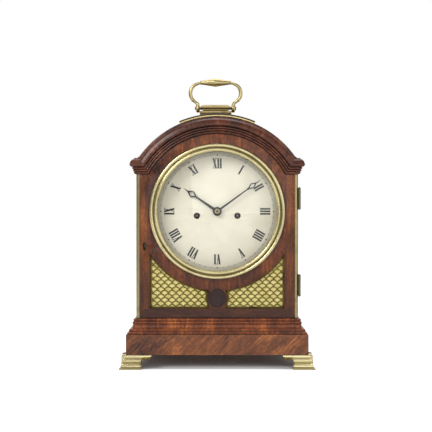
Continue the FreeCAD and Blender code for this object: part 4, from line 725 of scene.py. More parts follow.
def pad(brass_edge):
    """The pad's dark top, and the brass hollow that runs round it with mitred corners."""
    dark = polished_wood("pad_wood", "x", tones((26, 16, 11), (44, 26, 17), (60, 36, 23)), 1.0, 0.2)
    curved_slab("pad_board", ROOF_R - 0.2, PAD_R - 2.2, PAD_TURN, PAD_FRONT_Y, PAD_REAR_Y, dark)
    curved_slab("pad_top", PAD_R - 2.2, PAD_R, PAD_TURN + 0.008, PAD_FRONT_Y - 2.6, PAD_REAR_Y + 2.6, dark,
                stands_for=("roof_pad",), round_edge=0.5)
    high = PAD_R - ROOF_R
    out, rise = np.array(chain(
        (0.02, 0.1), (6.0, 0.1), (6.0, 1.1), ((5.6, 1.6), (5.0, 1.6)), ((2.6, 3.4), (1.6, high - 2.9)),
        (1.6, high - 2.3), (0.02, high - 2.3), count=8,
    )).T
    angle = np.linspace(-1, 1, 49)[:, None]
    radius = ROOF_R + rise
    spread = PAD_TURN + out / radius
    for label, face_y, way in (("front", PAD_FRONT_Y, -1), ("rear", PAD_REAR_Y, 1)):
        turn = angle * spread
        stations = np.stack([
            radius * np.sin(turn), face_y + way * out + 0 * turn, DIAL_Z + radius * np.cos(turn),
        ], axis=-1)
        more = {"stands_for": ("pad_edging",)} if way < 0 else {}
        carried("pad_hollow_" + label, stations, brass_edge, "case", **more)
    for label, side in (("left", -1), ("right", 1)):
        x, z = side * radius * np.sin(spread), DIAL_Z + radius * np.cos(spread)
        ends = [np.stack([x, y + 0 * x, z], axis=-1) for y in (PAD_FRONT_Y - out, PAD_REAR_Y + out)]
        carried("pad_hollow_" + label, np.stack(ends), brass_edge, "case")


def cushion(material):
    """Brass handle cushion: the same profile round an oblong, its corners kept square and mitred."""
    profile = chain(
        (0.0, 415.0), (0.0, 421.8), ((0.6, 423.8), (-0.2, 425.6)),
        (-1.4, 425.9), ((-5.2, 427.4), (-4.6, 430.4)),
        (-1.6, 430.8), ((-0.9, 432.2), (-1.9, 433.6)), count=8,
    )
    sizes = [(27.0 + inset, 15.0 + inset, high) for inset, high in profile]
    for quarter in np.linspace(0.1, 0.94, 9) * math.pi / 2:
        near = math.cos(quarter)
        sizes.append((25.1 * near ** 0.6, 13.1 * near, 433.6 + 4.0 * math.sin(quarter)))
    corners = ((-1, -1), (1, -1), (1, 1), (-1, 1))
    rings = [[(HANDLE_X + sx * x, HANDLE_Y + sy * y, high) for sx, sy in corners] for x, y, high in sizes]
    carried("handle_cushion", np.array(rings), material, "case", stands_for=("handle_base",), crease=40)
    for label, side in (("left", -1), ("right", 1)):
        pin = [(0.0, 20.0), (2.2, 20.0), (2.2, 33.8), (3.2, 33.9), (3.5, 34.6), (2.4, 35.6), (0.0, 36.0)]
        pin = [(r, side * x) for r, x in pin]
        turned(f"handle_pin_{label}", pin, (HANDLE_X, HANDLE_Y, PIVOT_Z), "x", material, "case", steps=36)


def smooth_path(knots, count):
    """A curve through the knots with continuous slope, each span a cubic between its two ends."""
    knots = np.asarray(knots, dtype=float)
    reach = np.concatenate([[0], np.cumsum(np.linalg.norm(np.diff(knots, axis=0), axis=1))])
    slope = np.gradient(knots, reach, axis=0)
    t = np.linspace(0, reach[-1], count)
    k = np.clip(np.searchsorted(reach, t, side="right") - 1, 0, len(knots) - 2)
    step = reach[k + 1] - reach[k]
    u = ((t - reach[k]) / step)[:, None]
    step = step[:, None]
    a, b = 2 * u ** 3 - 3 * u ** 2 + 1, u ** 3 - 2 * u ** 2 + u
    c, d = 3 * u ** 2 - 2 * u ** 3, u ** 3 - u ** 2
    return a * knots[k] + b * step * slope[k] + c * knots[k + 1] + d * step * slope[k + 1]


def bar(path, radii, flat=1.0, steps=28):
    """Grid of a round bar along a path in the plane y = HANDLE_Y; flat squeezes it along Y."""
    tangent = np.gradient(path, axis=0)
    tangent /= np.linalg.norm(tangent, axis=1, keepdims=True)
    across = np.stack([-tangent[:, 1], tangent[:, 0]], axis=-1)
    turn = np.linspace(0, 2 * np.pi, steps, endpoint=False)
    r = np.asarray(radii)[:, None]
    x = path[:, :1] + across[:, :1] * r * np.cos(turn)
    z = path[:, 1:] + across[:, 1:] * r * np.cos(turn)
    return np.stack([x, HANDLE_Y + flat * r * np.sin(turn), z], axis=-1)


def handle(material):
    """The bail: each arm rises from a ball eye, swells to a collar and runs into a spindle grip."""
    knots = [(30.6, 435.5), (31.6, 440.0), (36.2, 443.6), (41.0, 448.6), (43.3, 455.6), (42.6, 463.2),
             (39.0, 469.6), (32.4, 474.0), (22.0, 476.2)]
    path = smooth_path(knots, 90)
    share = np.linspace(0, 1, 90)
    radii = 2.3 + 0.95 * np.sin(np.pi * share) ** 2
    radii += 0.5 * np.exp(-((share - 0.24) / 0.02) ** 2) + 0.9 * np.exp(-((share - 0.05) / 0.04) ** 2)
    shapes = []
    for side in (1, -1):
        points, faces = capped(bar(path * np.array([side, 1]), radii))
        shapes.append((points + np.array([HANDLE_X, 0, 0]), faces))
    eye = chain((0.0, -3.1), (3.6, -3.1), ((6.6, -2.2), (7.3, 0.0)), ((6.6, 2.2), (3.6, 3.1)), (0.0, 3.1),
                count=8)
    grip = chain((0.0, -26.0), (3.0, -26.0), ((3.9, -25.3), (3.2, -24.6)), ((5.3, -12.0), (7.1, 0.0)),
                 ((5.3, 12.0), (3.2, 24.6)), ((3.9, 25.3), (3.0, 26.0)), (0.0, 26.0), count=14)
    for profile, x, z in ((eye, 30.6, PIVOT_Z), (eye, -30.6, PIVOT_Z), (grip, 0.0, 476.2)):
        shapes.append(swung(profile, (HANDLE_X + x, HANDLE_Y, z), "x", 40))
    solid("carrying_bail", *merged(shapes), material, "carrying_handle", stands_for=("carrying_handle",),
          crease=40)


# Front door ----------------------------------------------------------------------------------
FRET_X1, FRET_X0, FRET_Z0 = 109.2, 14.0, 95.6
FRET_ARC_R, BITE_R, ROUNDEL_Z = 129.0, 16.7, 112.6
SCALE_PITCH = 12.2
SCALE_ROW = 0.471 * SCALE_PITCH
FRET_Y = FACE_Y + 4.0


def spandrel_loop(grow, side=-1, count=30):
    """The left spandrel opening, grown all round: two straight sides, the ring's arc and the bite."""
    x1, x0, z0 = FRET_X1 + grow, FRET_X0 - grow, FRET_Z0 - grow
    ring, bite = FRET_ARC_R - grow, BITE_R - grow
    lift = math.sqrt(max(bite * bite - x0 * x0, 0.01))
    top = DIAL_Z - math.sqrt(ring * ring - x1 * x1)
    inner = DIAL_Z - math.sqrt(ring * ring - x0 * x0)
    middle = math.radians(245)
    via = (ring * math.cos(middle), DIAL_Z + ring * math.sin(middle))
    loop = chain((-x1, z0), (-x0, z0), (-x0, ROUNDEL_Z - lift),
                 ((-bite, ROUNDEL_Z), (-x0, ROUNDEL_Z + lift)),
                 (-x0, inner), (via, (-x1, top)), count=count)
    return loop if side < 0 else flip_x(loop)


def scale_loop(x, z, strap=1.5):
    """One fish scale: a round back over two hollow sides that meet in a point below."""
    radius, row = SCALE_PITCH / 2, SCALE_ROW
    top_r, low_r = radius - strap / 2, radius + strap / 2
    foot = (0.0, math.sqrt(low_r ** 2 - radius ** 2) - row)
    span = math.hypot(radius, row)
    along = (top_r ** 2 - low_r ** 2 + span ** 2) / (2 * span)
    off = math.sqrt(top_r ** 2 - along ** 2)
    corner = ((along * radius + off * row) / span, (-along * row + off * radius) / span)
    side_turn = math.atan2(corner[1] + row, corner[0] - radius), math.atan2(foot[1] + row, foot[0] - radius)
    middle = (side_turn[0] + side_turn[1] % (2 * math.pi)) / 2
    via = (radius + low_r * math.cos(middle), -row + low_r * math.sin(middle))
    loop = chain((-corner[0], corner[1]), ((-via[0], via[1]), foot), (via, corner),
                 ((0.0, top_r), (-corner[0], corner[1])), count=6)[:-1]
    return np.array(loop) + np.array([x, z])


def area(loop):
    """Half the sum of x times the next z, less z times the next x, round the loop."""
    x, z = loop.T
    return 0.5 * abs(np.dot(x, np.roll(z, -1)) - np.dot(z, np.roll(x, -1)))


def cut_straight(loop, place, inward):
    """The part of a loop on the inward side of a straight line through the place."""
    side = (loop - place) @ np.asarray(inward, dtype=float)
    kept = []
    for k in range(len(loop)):
        if side[k - 1] * side[k] < 0:
            kept.append(loop[k - 1] + (loop[k] - loop[k - 1]) * side[k - 1] / (side[k - 1] - side[k]))
        if side[k] >= 0:
            kept.append(loop[k])
    return np.array(kept).reshape(-1, 2)


def cut_round(loop, centre, radius):
    """The part of a loop beyond a circle, whose edge is taken as straight across so small a piece."""
    outward = loop.mean(axis=0) - centre
    outward /= np.hypot(*outward)
    return cut_straight(loop, np.asarray(centre) + outward * radius, outward)


def kept_in_spandrel(loop, border):
    """The part of a scale inside the fret's border, or nothing where too little is left."""
    whole = area(loop)
    for place, inward in (((-FRET_X1 + border, 0), (1, 0)), ((-FRET_X0 - border, 0), (-1, 0)),
                          ((0, FRET_Z0 + border), (0, 1))):
        loop = cut_straight(loop, np.array(place), inward) if len(loop) else loop
    for centre, radius in (((0, DIAL_Z), FRET_ARC_R + border), ((0, ROUNDEL_Z), BITE_R + border)):
        loop = cut_round(loop, np.array(centre), radius) if len(loop) else loop
    return loop if len(loop) > 3 and area(loop) > whole / 5 else None


def spandrel_scales(border):
    """Rows of scales half a pitch out of step, each cut to the space within the border."""
    found = []
    for j in range(18):
        for i in range(-1, 9):
            x = -FRET_X1 - 1.0 + i * SCALE_PITCH + (SCALE_PITCH / 2 if j % 2 else 0)
            found.append(kept_in_spandrel(scale_loop(x, FRET_Z0 + j * SCALE_ROW), border))
    return [loop for loop in found if loop is not None]


def frets(material, cloth, pin_material):
    """Pierced fish-scale plates with a plain border, their pins, and the cloth behind them."""
    scales = spandrel_scales(2.6)
    for label, side in (("left", -1), ("right", 1)):
        loops = [spandrel_loop(2.2, side)]
        loops += [loop if side < 0 else np.array(flip_x(loop)) for loop in scales]
        board(f"{label}_fish_scale_fret", loops, "y", FRET_Y, FRET_Y + 1.5, material, "front_door",
              edge=0.28,
              stands_for=(f"{label}_front_fret",), slot="brass")
        cut = np.array(spandrel_loop(2.2, side, 12))
        sheet = board(f"{label}_fret_cloth", [cut], "y", FRET_Y + 1.6, FRET_Y + 2.2, cloth, "front_door",
                      edge=0.05, stands_for=("front_fret_silks",) if side < 0 else (), slot="silk")
        pins = []
        for x, z in [(-107.2, 98), (-107.2, 125), (-107.2, 152), (-85, 97.4), (-60, 97.4), (-36, 97.4),
                     (-92, 164),
                     (-70, 145.5), (-46, 131.6), (-22, 124.6)]:
            head = [(0, -0.35), (0.6, -0.28), (0.85, 0.05), (0.85, 0.4), (0, 0.4)]
            pins.append(swung(head, (-side * x, FRET_Y, z), "y", 10))
        solid(f"{label}_fret_pins", *merged(pins), pin_material, "front_door", slot="steel")


KEYHOLE = chain((-119.5, 191.0), (-116.7, 191.0), (-116.9, 196.8), ((-118.1, 201.4), (-119.3, 196.8)),
                count=14)
LOCK_PLATE = [(-129, 178), (-101, 178), (-101, 215), (-129, 215)]
DOOR_FOOT = 80.2


def door(brass_edge, brass_bezel):
    """Frame, edge strips, boss, bezel, glass, keyhole liner."""
    radius = ARCH_R - 0.6
    top = SHOULDER_Z - 0.6
    outline, inner = [arched_loop(DOOR_FOOT, radius, TRUNK_HALF - less, top, 96) for less in (5.5, 0)]
    loops = [outline, circle(0, DIAL_Z, 100), spandrel_loop(0), spandrel_loop(0, 1), KEYHOLE]
    board("door_face", loops, "y", FACE_Y, FACE_Y + 4.2, door_wood(), "front_door", edge=0.5,
          stands_for=("door_frame",))
    back = [inner, circle(0, DIAL_Z, 100), spandrel_loop(2.5), spandrel_loop(2.5, 1)]
    carcase_wood = polished_wood("door_back_wood", "z", DOOR_TONES, 1.4, 0.8, gloss=0.34)
    board("door_core", back + [KEYHOLE], "y", FACE_Y + 5.5, -64.0, carcase_wood, "front_door", edge=0.3)
    below_lock = cut_straight(np.array(spandrel_loop(2.5)), np.array((0, 177.0)), (0, -1))
    board("door_core_rear", back[:2] + [below_lock, back[3], LOCK_PLATE], "y", -64.0, DOOR_BACK_Y,
          carcase_wood, "front_door", edge=0.3)
    board("door_core_front", [outline] + back[1:] + [KEYHOLE], "y", FACE_Y + 4.2, FACE_Y + 5.5,
          carcase_wood,
          "front_door", edge=0.1)
    strips = []
    for side in (-1, 1):
        cx, cy, r = side * (TRUNK_HALF - 5.5), FACE_Y + 5.5, 5.5
        turn = np.linspace(0, np.pi / 2, 14)
        section = [(cx, cy)] + [(cx + side * r * math.sin(t), cy - r * math.cos(t)) for t in turn]
        strips.append(capped(np.array([[(px, py, z) for px, py in section]
                                       for z in (DOOR_FOOT, 200.0, top)])))
    solid("door_edge_strips", *merged(strips), brass_edge, "front_door", stands_for=("door_strips",),
          slot="brass")
    y = FACE_Y
    boss = chain((0, y + 0.5), (14.6, y + 0.5), (14.6, y - 0.8), ((14.2, y - 1.5), (13.2, y - 1.7)),
                 (7.0, y - 2.1),
                 (0, y - 2.2), count=6)
    boss_wood = polished_wood("boss_wood", "z", tones((24, 9, 5), (46, 20, 11), (66, 32, 18)), 1.6, 0.25)
    turned("door_boss", boss, (0, 0, ROUNDEL_Z), "y", boss_wood, "front_door", steps=72,
           stands_for=("door_roundel",))
    rim = chain(
        (SIGHT_R, y + 8), (SIGHT_R, y - 4.6), (97.8, y - 5.2), ((100.0, y - 7.0), (102.4, y - 5.0)),
        (102.8, y - 3.6), (103.9, y - 3.2), (104.2, y - 3.8), ((107.4, y - 6.4), (110.2, y - 3.4)),
        (110.5, y - 1.2), (110.5, y),
        (99.7, y), (99.7, y + 8), count=12,
    )
    turned("dial_bezel", rim, (0, 0, DIAL_Z), "y", brass_bezel, "front_door", steps=256,
           stands_for=("bezel",),
           slot="brass", crease=40)
    r = SIGHT_R - 0.2
    radii = np.linspace(0, r, 24)
    sag = -7.0 * (1 - (radii / r) ** 2)
    front = np.stack([radii, y + 1.0 + sag], axis=-1)
    rear = np.stack([radii, y + 3.0 + sag], axis=-1)[::-1]
    turned("convex_glass", np.concatenate([front, rear]), (0, 0, DIAL_Z), "y",
           clear_glass("dial_glass_clear", 1.0),
           "front_door", steps=128, stands_for=("dial_glass",), slot="glass")
    grow = 0.9
    liner_out = chain((-119.5 - grow, 190.0), (-116.7 + grow, 190.0), (-116.6 + grow, 196.4),
                      ((-118.1, 202.4), (-119.6 - grow, 196.4)), count=14)
    # Painted shade: the liner is dark brass so that the keyhole reads as shadow.
    keyhole_shade_brass = brass("keyhole_shade_brass", (70, 60, 38), (40, 34, 22), rough=0.45)
    board("keyhole_liner", [liner_out, KEYHOLE], "y", FACE_Y - 0.25, FACE_Y + 3.6, keyhole_shade_brass,
          "front_door", edge=0.15,
          slot="brass")


# Hinges, lock and catch ----------------------------------------------------------------------
DOOR_AXIS, DOOR_HINGES = (133.8, -74.0), ((115.9, 150.0), (257.3, 291.5))
REAR_AXIS, REAR_HINGES = (92.2, 93.3), ((118.0, 148.0), (248.0, 278.0))
CATCH_X, CATCH_Z = -98.0, 210.0
KNUCKLE_GAP = 0.2


def knuckle(x, y, z0, z1, radius, steps=28):
    """Points and faces of an upright knuckle with slightly rounded ends."""
    soft = 0.25
    profile = [(0, z0), (radius - soft, z0), (radius, z0 + soft), (radius, z1 - soft), (radius - soft, z1),
               (0, z1)]
    return swung(profile, (x, y, 0), "z", steps)


def screw_heads(name, spots, facing, material, body, radius=2.4):
    """Countersunk screw heads with their slots; a spot is the middle of a head on the surface."""
    shapes = []
    for k, (x, y, z) in enumerate(spots):
        turn = math.radians(35 + 55 * k)
        width, along = radius * 0.16, np.linspace(0, 2 * np.pi, 24, endpoint=False)
        for side in (1, -1):
            half = np.linspace(math.asin(width / radius), math.pi - math.asin(width / radius), 13) * side
            rim = np.column_stack([radius * np.cos(half), radius * np.sin(half)])
            ring = rim @ np.array([[math.cos(turn), math.sin(turn)], [-math.sin(turn), math.cos(turn)]])
            levels = []
            for depth in (-0.12, 0.5):
                u, v = ring.T
                flat = {"y": (x + u, y + depth * facing[1] * -1 + 0 * u, z + v),
                        "x": (x - depth * facing[1] + 0 * u, y + u, z + v)}[facing[0]]
                levels.append(np.stack(flat, axis=-1))
            shapes.append(capped(np.array(levels)))
    solid(name, *merged(shapes), material, body, slot="steel")


def butts(axis, spans, radius, pin, fixed, neck, moving):
    """Both leaves of a pair of hinges with three knuckles; a leaf is given by its x0, x1, y0, y1.

    The fixed leaf's necks carry the outer knuckles, and the moving leaf the middle one, a third
    of the hinge's height each. The pin, of (radius, rise), stands out at both ends.
    """
    still, swinging = [], []
    for z0, z1 in spans:
        third = (z1 - z0) / 3
        still.append(block(*fixed, z0, z1))
        for a, b in ((z0, z0 + third), (z1 - third, z1)):
            still += [block(*neck, a, b), knuckle(*axis, a, b, radius)]
        still.append(knuckle(*axis, z0 - pin[1], z1 + pin[1], pin[0]))
        low, high = z0 + third + KNUCKLE_GAP, z1 - third - KNUCKLE_GAP
        swinging += [block(*moving, low, high), knuckle(*axis, low, high, radius)]
    return still, swinging


def hinges(material, screws):
    """Brass butt hinges of the front and the back door, with their screws and the turn-button."""
    x, y = DOOR_AXIS
    case_leaves, door_leaves = butts(
        DOOR_AXIS, DOOR_HINGES, 2.2, (1.5, 1.2), (TRUNK_HALF, x, CASE_FRONT_Y, -33.0),
        (TRUNK_HALF + 0.3, x, y, CASE_FRONT_Y), (TRUNK_HALF, x - 0.3, y, DOOR_BACK_Y - 1.5))
    solid("case_hinges", *merged(case_leaves), material, "case", stands_for=("case_door_brasses",),
          round_edge=0.2)
    solid("door_hinges", *merged(door_leaves), material, "front_door", stands_for=("door_hinge_leaves",),
          round_edge=0.2)
    spots = [(x, -44.0 + 4 * (k % 2), z) for z0, z1 in DOOR_HINGES
             for k, z in enumerate((z0 + 5, (z0 + z1) / 2, z1 - 5))]
    screw_heads("hinge_screws", spots, ("x", -1), screws, "case")
    x, y = REAR_AXIS
    frame_leaves, rear_leaves = butts(
        REAR_AXIS, REAR_HINGES, 2.0, (1.3, 1.0), (x + 2.4, x + 14, BACK_Y, BACK_Y + 1.3),
        (x, x + 2.4, BACK_Y + 0.3, BACK_Y + 1.3), (x - 14, x, BACK_Y, BACK_Y + 1.3))
    head = [(0.0, -1.6), (1.6, -1.6), (1.6, 1.6), (3.0, 1.6), (3.0, 2.4), (2.2, 3.0), (0.0, 3.1)]
    frame_leaves.append(swung(head, (CATCH_X, BACK_Y + 1.6, CATCH_Z), "y", 24))
    solid("back_brasses", *merged(frame_leaves), material, "case", stands_for=("back_frame_brasses",),
          round_edge=0.15)
    solid("back_door_hinges", *merged(rear_leaves), material, "rear_door",
          stands_for=("rear_door_hinge_leaves",),
          round_edge=0.15)
    spots = [(x + 9.5, BACK_Y + 1.3, z) for z0, z1 in REAR_HINGES for z in (z0 + 5, z1 - 5)]
    screw_heads("back_hinge_screws", spots, ("y", -1), screws, "case", radius=1.9)
    bx, bz = CATCH_X, CATCH_Z
    button = chain((bx - 3.5, bz), (bx - 3.0, bz - 17), ((bx, bz - 19.5), (bx + 3.0, bz - 17)),
                   (bx + 3.5, bz),
                   ((bx, bz + 4.5), (bx - 3.5, bz)))
    board("turn_button", [button, circle(bx, bz, 1.8, 24)], "y", BACK_Y + 0.4, BACK_Y + 2.8, material,
          "rear_catch",
          edge=0.4, stands_for=("rear_catch",))


def lock(material, bolt_steel):
    """Box lock in the back of the door, in three layers round the bolt's room."""
    room = [(-125.5, 191.7), (-105.2, 191.7), (-105.2, 200.9), (-125.5, 200.9)]
    slot = [(-115.9, 192.8), (-106.4, 192.8), (-106.4, 199.8), (-115.9, 199.8)]
    layers = (("front", KEYHOLE, -63.9, -61.4), ("middle", room, -61.4, -59.0),
              ("rear", slot, -59.0, -56.0))
    for label, hole, near, far in layers:
        more = {"stands_for": ("door_lock",)} if label == "front" else {}
        board("lock_" + label, [LOCK_PLATE, hole], "y", near, far, material, "front_door", edge=0.15,
              slot="brass", **more)
    softened("lock_bolt", bolt_steel, 0.3)
    keep = [block(-SIDE_INNER, -116.2, -55.5, -53.6, 188.3, 204.3),
            block(-SIDE_INNER, -120.0, -53.6, -38.0, 188.3, 204.3)]
    solid("bolt_keep", *merged(keep), material, "case", slot="brass", round_edge=0.15)


# Dial, hands and movement --------------------------------------------------------------------
DIAL_FACE_Y = -53.0
WINDING = ((33.5, 246.2), (-33.5, 246.2))
NUMERALS = ("XII", "I", "II", "III", "IIII", "V", "VI", "VII", "VIII", "IX", "X", "XI")
NUMERAL_R0, NUMERAL_R1 = 71.0, 87.6
ADVANCE = {"I": 4.1, "V": 7.3, "X": 7.7}
THICK, THIN, SERIF = 2.8, 1.0, 0.9


def on_dial(degrees, across, out):
    """A place on the dial, out from its centre towards that many degrees clockwise from the top."""
    turn = math.radians(degrees)
    sine, cosine = math.sin(turn), math.cos(turn)
    return out * sine + across * cosine, DIAL_Z + out * cosine - across * sine


def letter_strokes(letter, u):
    """Strokes of a Roman letter about u, as (from, to, width), feet on 0 and heads on 1."""
    if letter == "I":
        return [((u, 0), (u, 1), THICK)], [(u, 0), (u, 1)]
    if letter == "V":
        left, right, foot = (u - 2.0, 1), (u + 2.1, 1), (u + 0.2, 0)
        return [(left, foot, THICK), (right, foot, THIN)], [left, right]
    ends = [(u - 2.1, 1), (u + 2.2, 0), (u + 2.2, 1), (u - 2.1, 0)]
    return [(ends[0], ends[1], THICK), (ends[2], ends[3], THIN)], ends


def numerals(paint):
    """Roman chapters with their feet to the centre, and the minute dots outside them."""
    high = NUMERAL_R1 - NUMERAL_R0
    shapes = []

    def prism(corners, rise):
        levels = [[(x, y, z) for x, z in corners] for y in (DIAL_FACE_Y - rise, DIAL_FACE_Y + 0.1)]
        shapes.append(capped(np.array(levels)))

    for hour, text in enumerate(NUMERALS):
        u = -sum(ADVANCE[letter] for letter in text) / 2
        for letter in text:
            strokes, ends = letter_strokes(letter, u + ADVANCE[letter] / 2)
            u += ADVANCE[letter]
            for (u0, v0), (u1, v1), width in strokes:
                lean = (u1 - u0) / high if v1 > v0 else (u0 - u1) / high
                half = width / 2 * math.sqrt(1 + lean * lean)
                flat = [(u0 - half, v0), (u0 + half, v0), (u1 + half, v1), (u1 - half, v1)]
                prism([on_dial(30 * hour, a, NUMERAL_R0 + b * high) for a, b in flat],
                      0.10 if width == THIN else 0.12)
            for at, v in ends:
                foot = NUMERAL_R0 if v == 0 else NUMERAL_R1 - SERIF
                flat = [(at - 1.7, foot), (at + 1.7, foot), (at + 1.7, foot + SERIF),
                        (at - 1.7, foot + SERIF)]
                prism([on_dial(30 * hour, a, b) for a, b in flat], 0.11)
    for minute in range(60):
        x, z = on_dial(6 * minute, 0, 93.0)
        prism([tuple(p) for p in circle(x, z, 1.1 if minute % 5 == 0 else 0.7, 12)], 0.1)
    solid("chapter_numerals", *merged(shapes), paint, "case", slot="blued_steel", crease=20)


def hand_loops(length, lozenge_at, boss, degrees):
    """Outline and piercing of a hand, turned clockwise from the top by that many degrees."""
    half, wide = (8.2, 5.4) if length < 70 else (7.6, 4.6)
    low, high = lozenge_at - half, lozenge_at + half
    root, neck = (2.3, 1.25) if length < 70 else (1.7, 0.95)
    right = [(root, boss - 0.4), (neck, low - 2.6), (1.9, low - 1.8), (1.9, low - 1.2), (1.0, low - 0.4)]
    right += arc(right[-1], (wide * 0.62, low + half * 0.42), (wide, lozenge_at), 8)
    right += arc((wide, lozenge_at), (wide * 0.55, high - half * 0.42), (0.85, high), 8)
    right += [(0.55, (high + length) / 2), (0.12, length)]
    rim = np.linspace(math.radians(72), math.radians(-252), 44)
    ring = [(boss * math.cos(t), boss * math.sin(t)) for t in rim]
    outline = [(-u, v) for u, v in right] + [(u, v) for u, v in reversed(right)] + ring
    eye = chain((0, low + 2.6), ((wide * 0.32, low + half * 0.62), (wide - 1.7, lozenge_at)),
                ((wide * 0.30, high - half * 0.62), (0, high - 2.4)),
                ((-wide * 0.30, high - half * 0.62), (-wide + 1.7, lozenge_at)),
                ((-wide * 0.32, low + half * 0.62), (0, low + 2.6)), count=8)[:-1]
    return [[on_dial(degrees, u, v) for u, v in loop] for loop in (outline, eye)]


def dial_and_hands(brass_collet, square_steel):
    """The painted disc, its chapters, both hands, their collet and pin, and the winding squares."""
    holes = [circle(0, DIAL_Z, 5.0, 48)] + [circle(x, z, 5.2, 48) for x, z in WINDING]
    board("dial_disc", [circle(0, DIAL_Z, 101.5, 200)] + holes, "y", DIAL_FACE_Y, -51.5, dial_paint(),
          "case", edge=0.3,
          stands_for=("dial",), slot="painted_dial")
    numerals(black_paint())
    blued = blued_steel()
    for name, y, length, lozenge_at, boss, degrees in (
        ("minute_hand", -60.2, 89.0, 71.5, 6.9, 54.0), ("hour_hand", -56.9, 67.0, 50.6, 7.4, 304.5),
    ):
        board(name + "_blade", hand_loops(length, lozenge_at, boss, degrees), "y", y, y + 0.9, blued, name,
              edge=0.22,
              stands_for=(name,), slot="blued_steel")
    dome = [(2.2, -62.0), (3.0, -62.1), (3.8, -61.7), (4.4, -60.9), (4.5, -60.25), (2.2, -60.25)]
    turned("hand_collet", dome, (0, 0, DIAL_Z), "y", brass_collet, "minute_hand", steps=48)
    pin = [(0, -63.0), (1.2, -62.9), (1.9, -62.4), (2.1, -61.6), (2.1, -60.25), (0, -60.25)]
    turned("hand_pin", pin, (0, 0, DIAL_Z), "y", blued, "minute_hand", steps=32)
    for (x, z), name in zip(WINDING, ("going_great_wheel", "strike_great_wheel")):
        points, faces = block(x - 2.3, x + 2.3, -52.4, -44.0, z - 2.3, z + 2.3)
        solid(name + "_square", points, faces, square_steel, name, round_edge=0.35)


def bell_piece():
    """The bell: an outside curve, the lip and an inside curve, turned about its upright axis."""
    bronze = brass("bell_bronze", (188, 160, 112), (120, 96, 62), rough=0.24, age=0.4)
    top = 368.0
    outside = chain((2.5, top), ((10, top - 0.2), (17.0, top - 1.4)),
                    ((26.6, top - 8.0), (30.6, top - 18.0)),
                    ((31.6, top - 21.6), (34.0, top - 24)), count=12)
    inside = chain((31.8, top - 23.6), ((29.0, top - 20.4), (28.2, top - 17.0)),
                   ((24.2, top - 9.0), (15.6, top - 3.8)),
                   (2.5, top - 2.6), count=12)
    turned("bell_shell", outside + inside, (0, 8.0, 0), "z", bronze, "case", steps=120,
           stands_for=("bell",),
           slot="bell_metal")


def pendulum_piece(brass_bob, steel_rod):
    """A lens-shaped bob turned about its own axis, on a rod with a suspension spring and nut."""
    y, pivot, bob_z = 48.0, 313.5, 113.5
    bob = chain((0, y - 5.6), ((13, y - 4.2), (21.6, y - 1.0)), (22, y - 0.6), (22, y + 0.6),
                (21.6, y + 1.0),
                ((13, y + 4.2), (0, y + 5.6)), count=14)
    turned("pendulum_bob", bob, (0, 0, bob_z), "y", brass_bob, "pendulum", steps=96,
           stands_for=("pendulum",))
    parts = [block(-2.5, 2.5, y - 0.2, y + 0.2, pivot - 13, pivot),
             block(-3.5, 3.5, y - 1.4, y + 1.4, pivot - 17, pivot - 12),
             knuckle(0, y, bob_z + 20, pivot - 16, 1.2, 16), knuckle(0, y, bob_z - 29, bob_z - 20, 1.2, 16)]
    solid("pendulum_rod", *merged(parts), steel_rod, "pendulum", slot="steel", round_edge=0.15)
    nut = [(0, bob_z - 26.2), (3.9, bob_z - 26.2), (4.3, bob_z - 25.8), (4.3, bob_z - 23.0),
           (3.9, bob_z - 22.6),
           (0, bob_z - 22.6)]
    turned("rating_nut", nut, (0, y, 0), "z", brass_bob, "pendulum", steps=40)


def movement(plate_brass, wheel_brass, dark_steel):
    """Finishes on the movement's own bodies, whose edges are eased where they are."""
    finishes = {
        plate_brass: ("movement_plates", "back_plate_cocks", "going_barrel", "strike_barrel"),
        wheel_brass: ("going_great_wheel", "strike_great_wheel", "centre_wheel", "hour_wheel",
                      "minute_wheel",
                      "third_wheel", "escape_wheel", "pin_wheel", "gathering_wheel", "fly"),
        dark_steel: ("pillars_and_studs", "pallets", "bell_hammer"),
    }
    for material, nodes in finishes.items():
        for node in nodes:
            mesh = frame["nodes"][node].data
            mesh.materials.clear()
            mesh.materials.append(material)


def sound_frets(material, cloth):
    """The side frets, with the same scales as the door's but larger, and their cloth."""
    pitch, x0 = 2.0 * SCALE_PITCH, SIDE_INNER + 4.0
    y0, y1, z0, z1 = -20.0, 44.0, 186.0, 286.0
    border, lap = 3.6, 2.2
    plate = [(y0 - lap, z0 - lap), (y1 + lap, z0 - lap), (y1 + lap, z1 + lap), (y0 - lap, z1 + lap)]
    unit = scale_loop(0, 0)
    scales = []
    for j in range(int((z1 - z0) / (0.471 * pitch)) + 2):
        for i in range(-2, 3):
            centre = (12.0 + i * pitch + (pitch / 2 if j % 2 else 0), z0 + 8 + j * 0.471 * pitch)
            loop = unit * 2.0 + np.array(centre)
            kept = np.stack([np.clip(loop[:, 0], y0 + border, y1 - border),
                             np.clip(loop[:, 1], z0 + border, z1 - border)],
                            axis=-1)
            if area(kept) > 0.34 * area(loop):
                scales.append(kept)
    for label, side in (("left", -1), ("right", 1)):
        near, far = sorted((side * x0, side * (x0 - 1.5)))
        more = {"stands_for": ("sound_frets",)} if side < 0 else {}
        board(label + "_sound_fret", [plate] + scales, "x", near, far, material, "case", edge=0.25,
              slot="brass", **more)
        near, far = sorted((side * (x0 - 1.6), side * (x0 - 2.2)))
        more = {"stands_for": ("sound_fret_silks",)} if side < 0 else {}
        sheet = board(label + "_sound_cloth", [plate], "x", near, far, cloth, "case", edge=0.05,
                      slot="silk", **more)


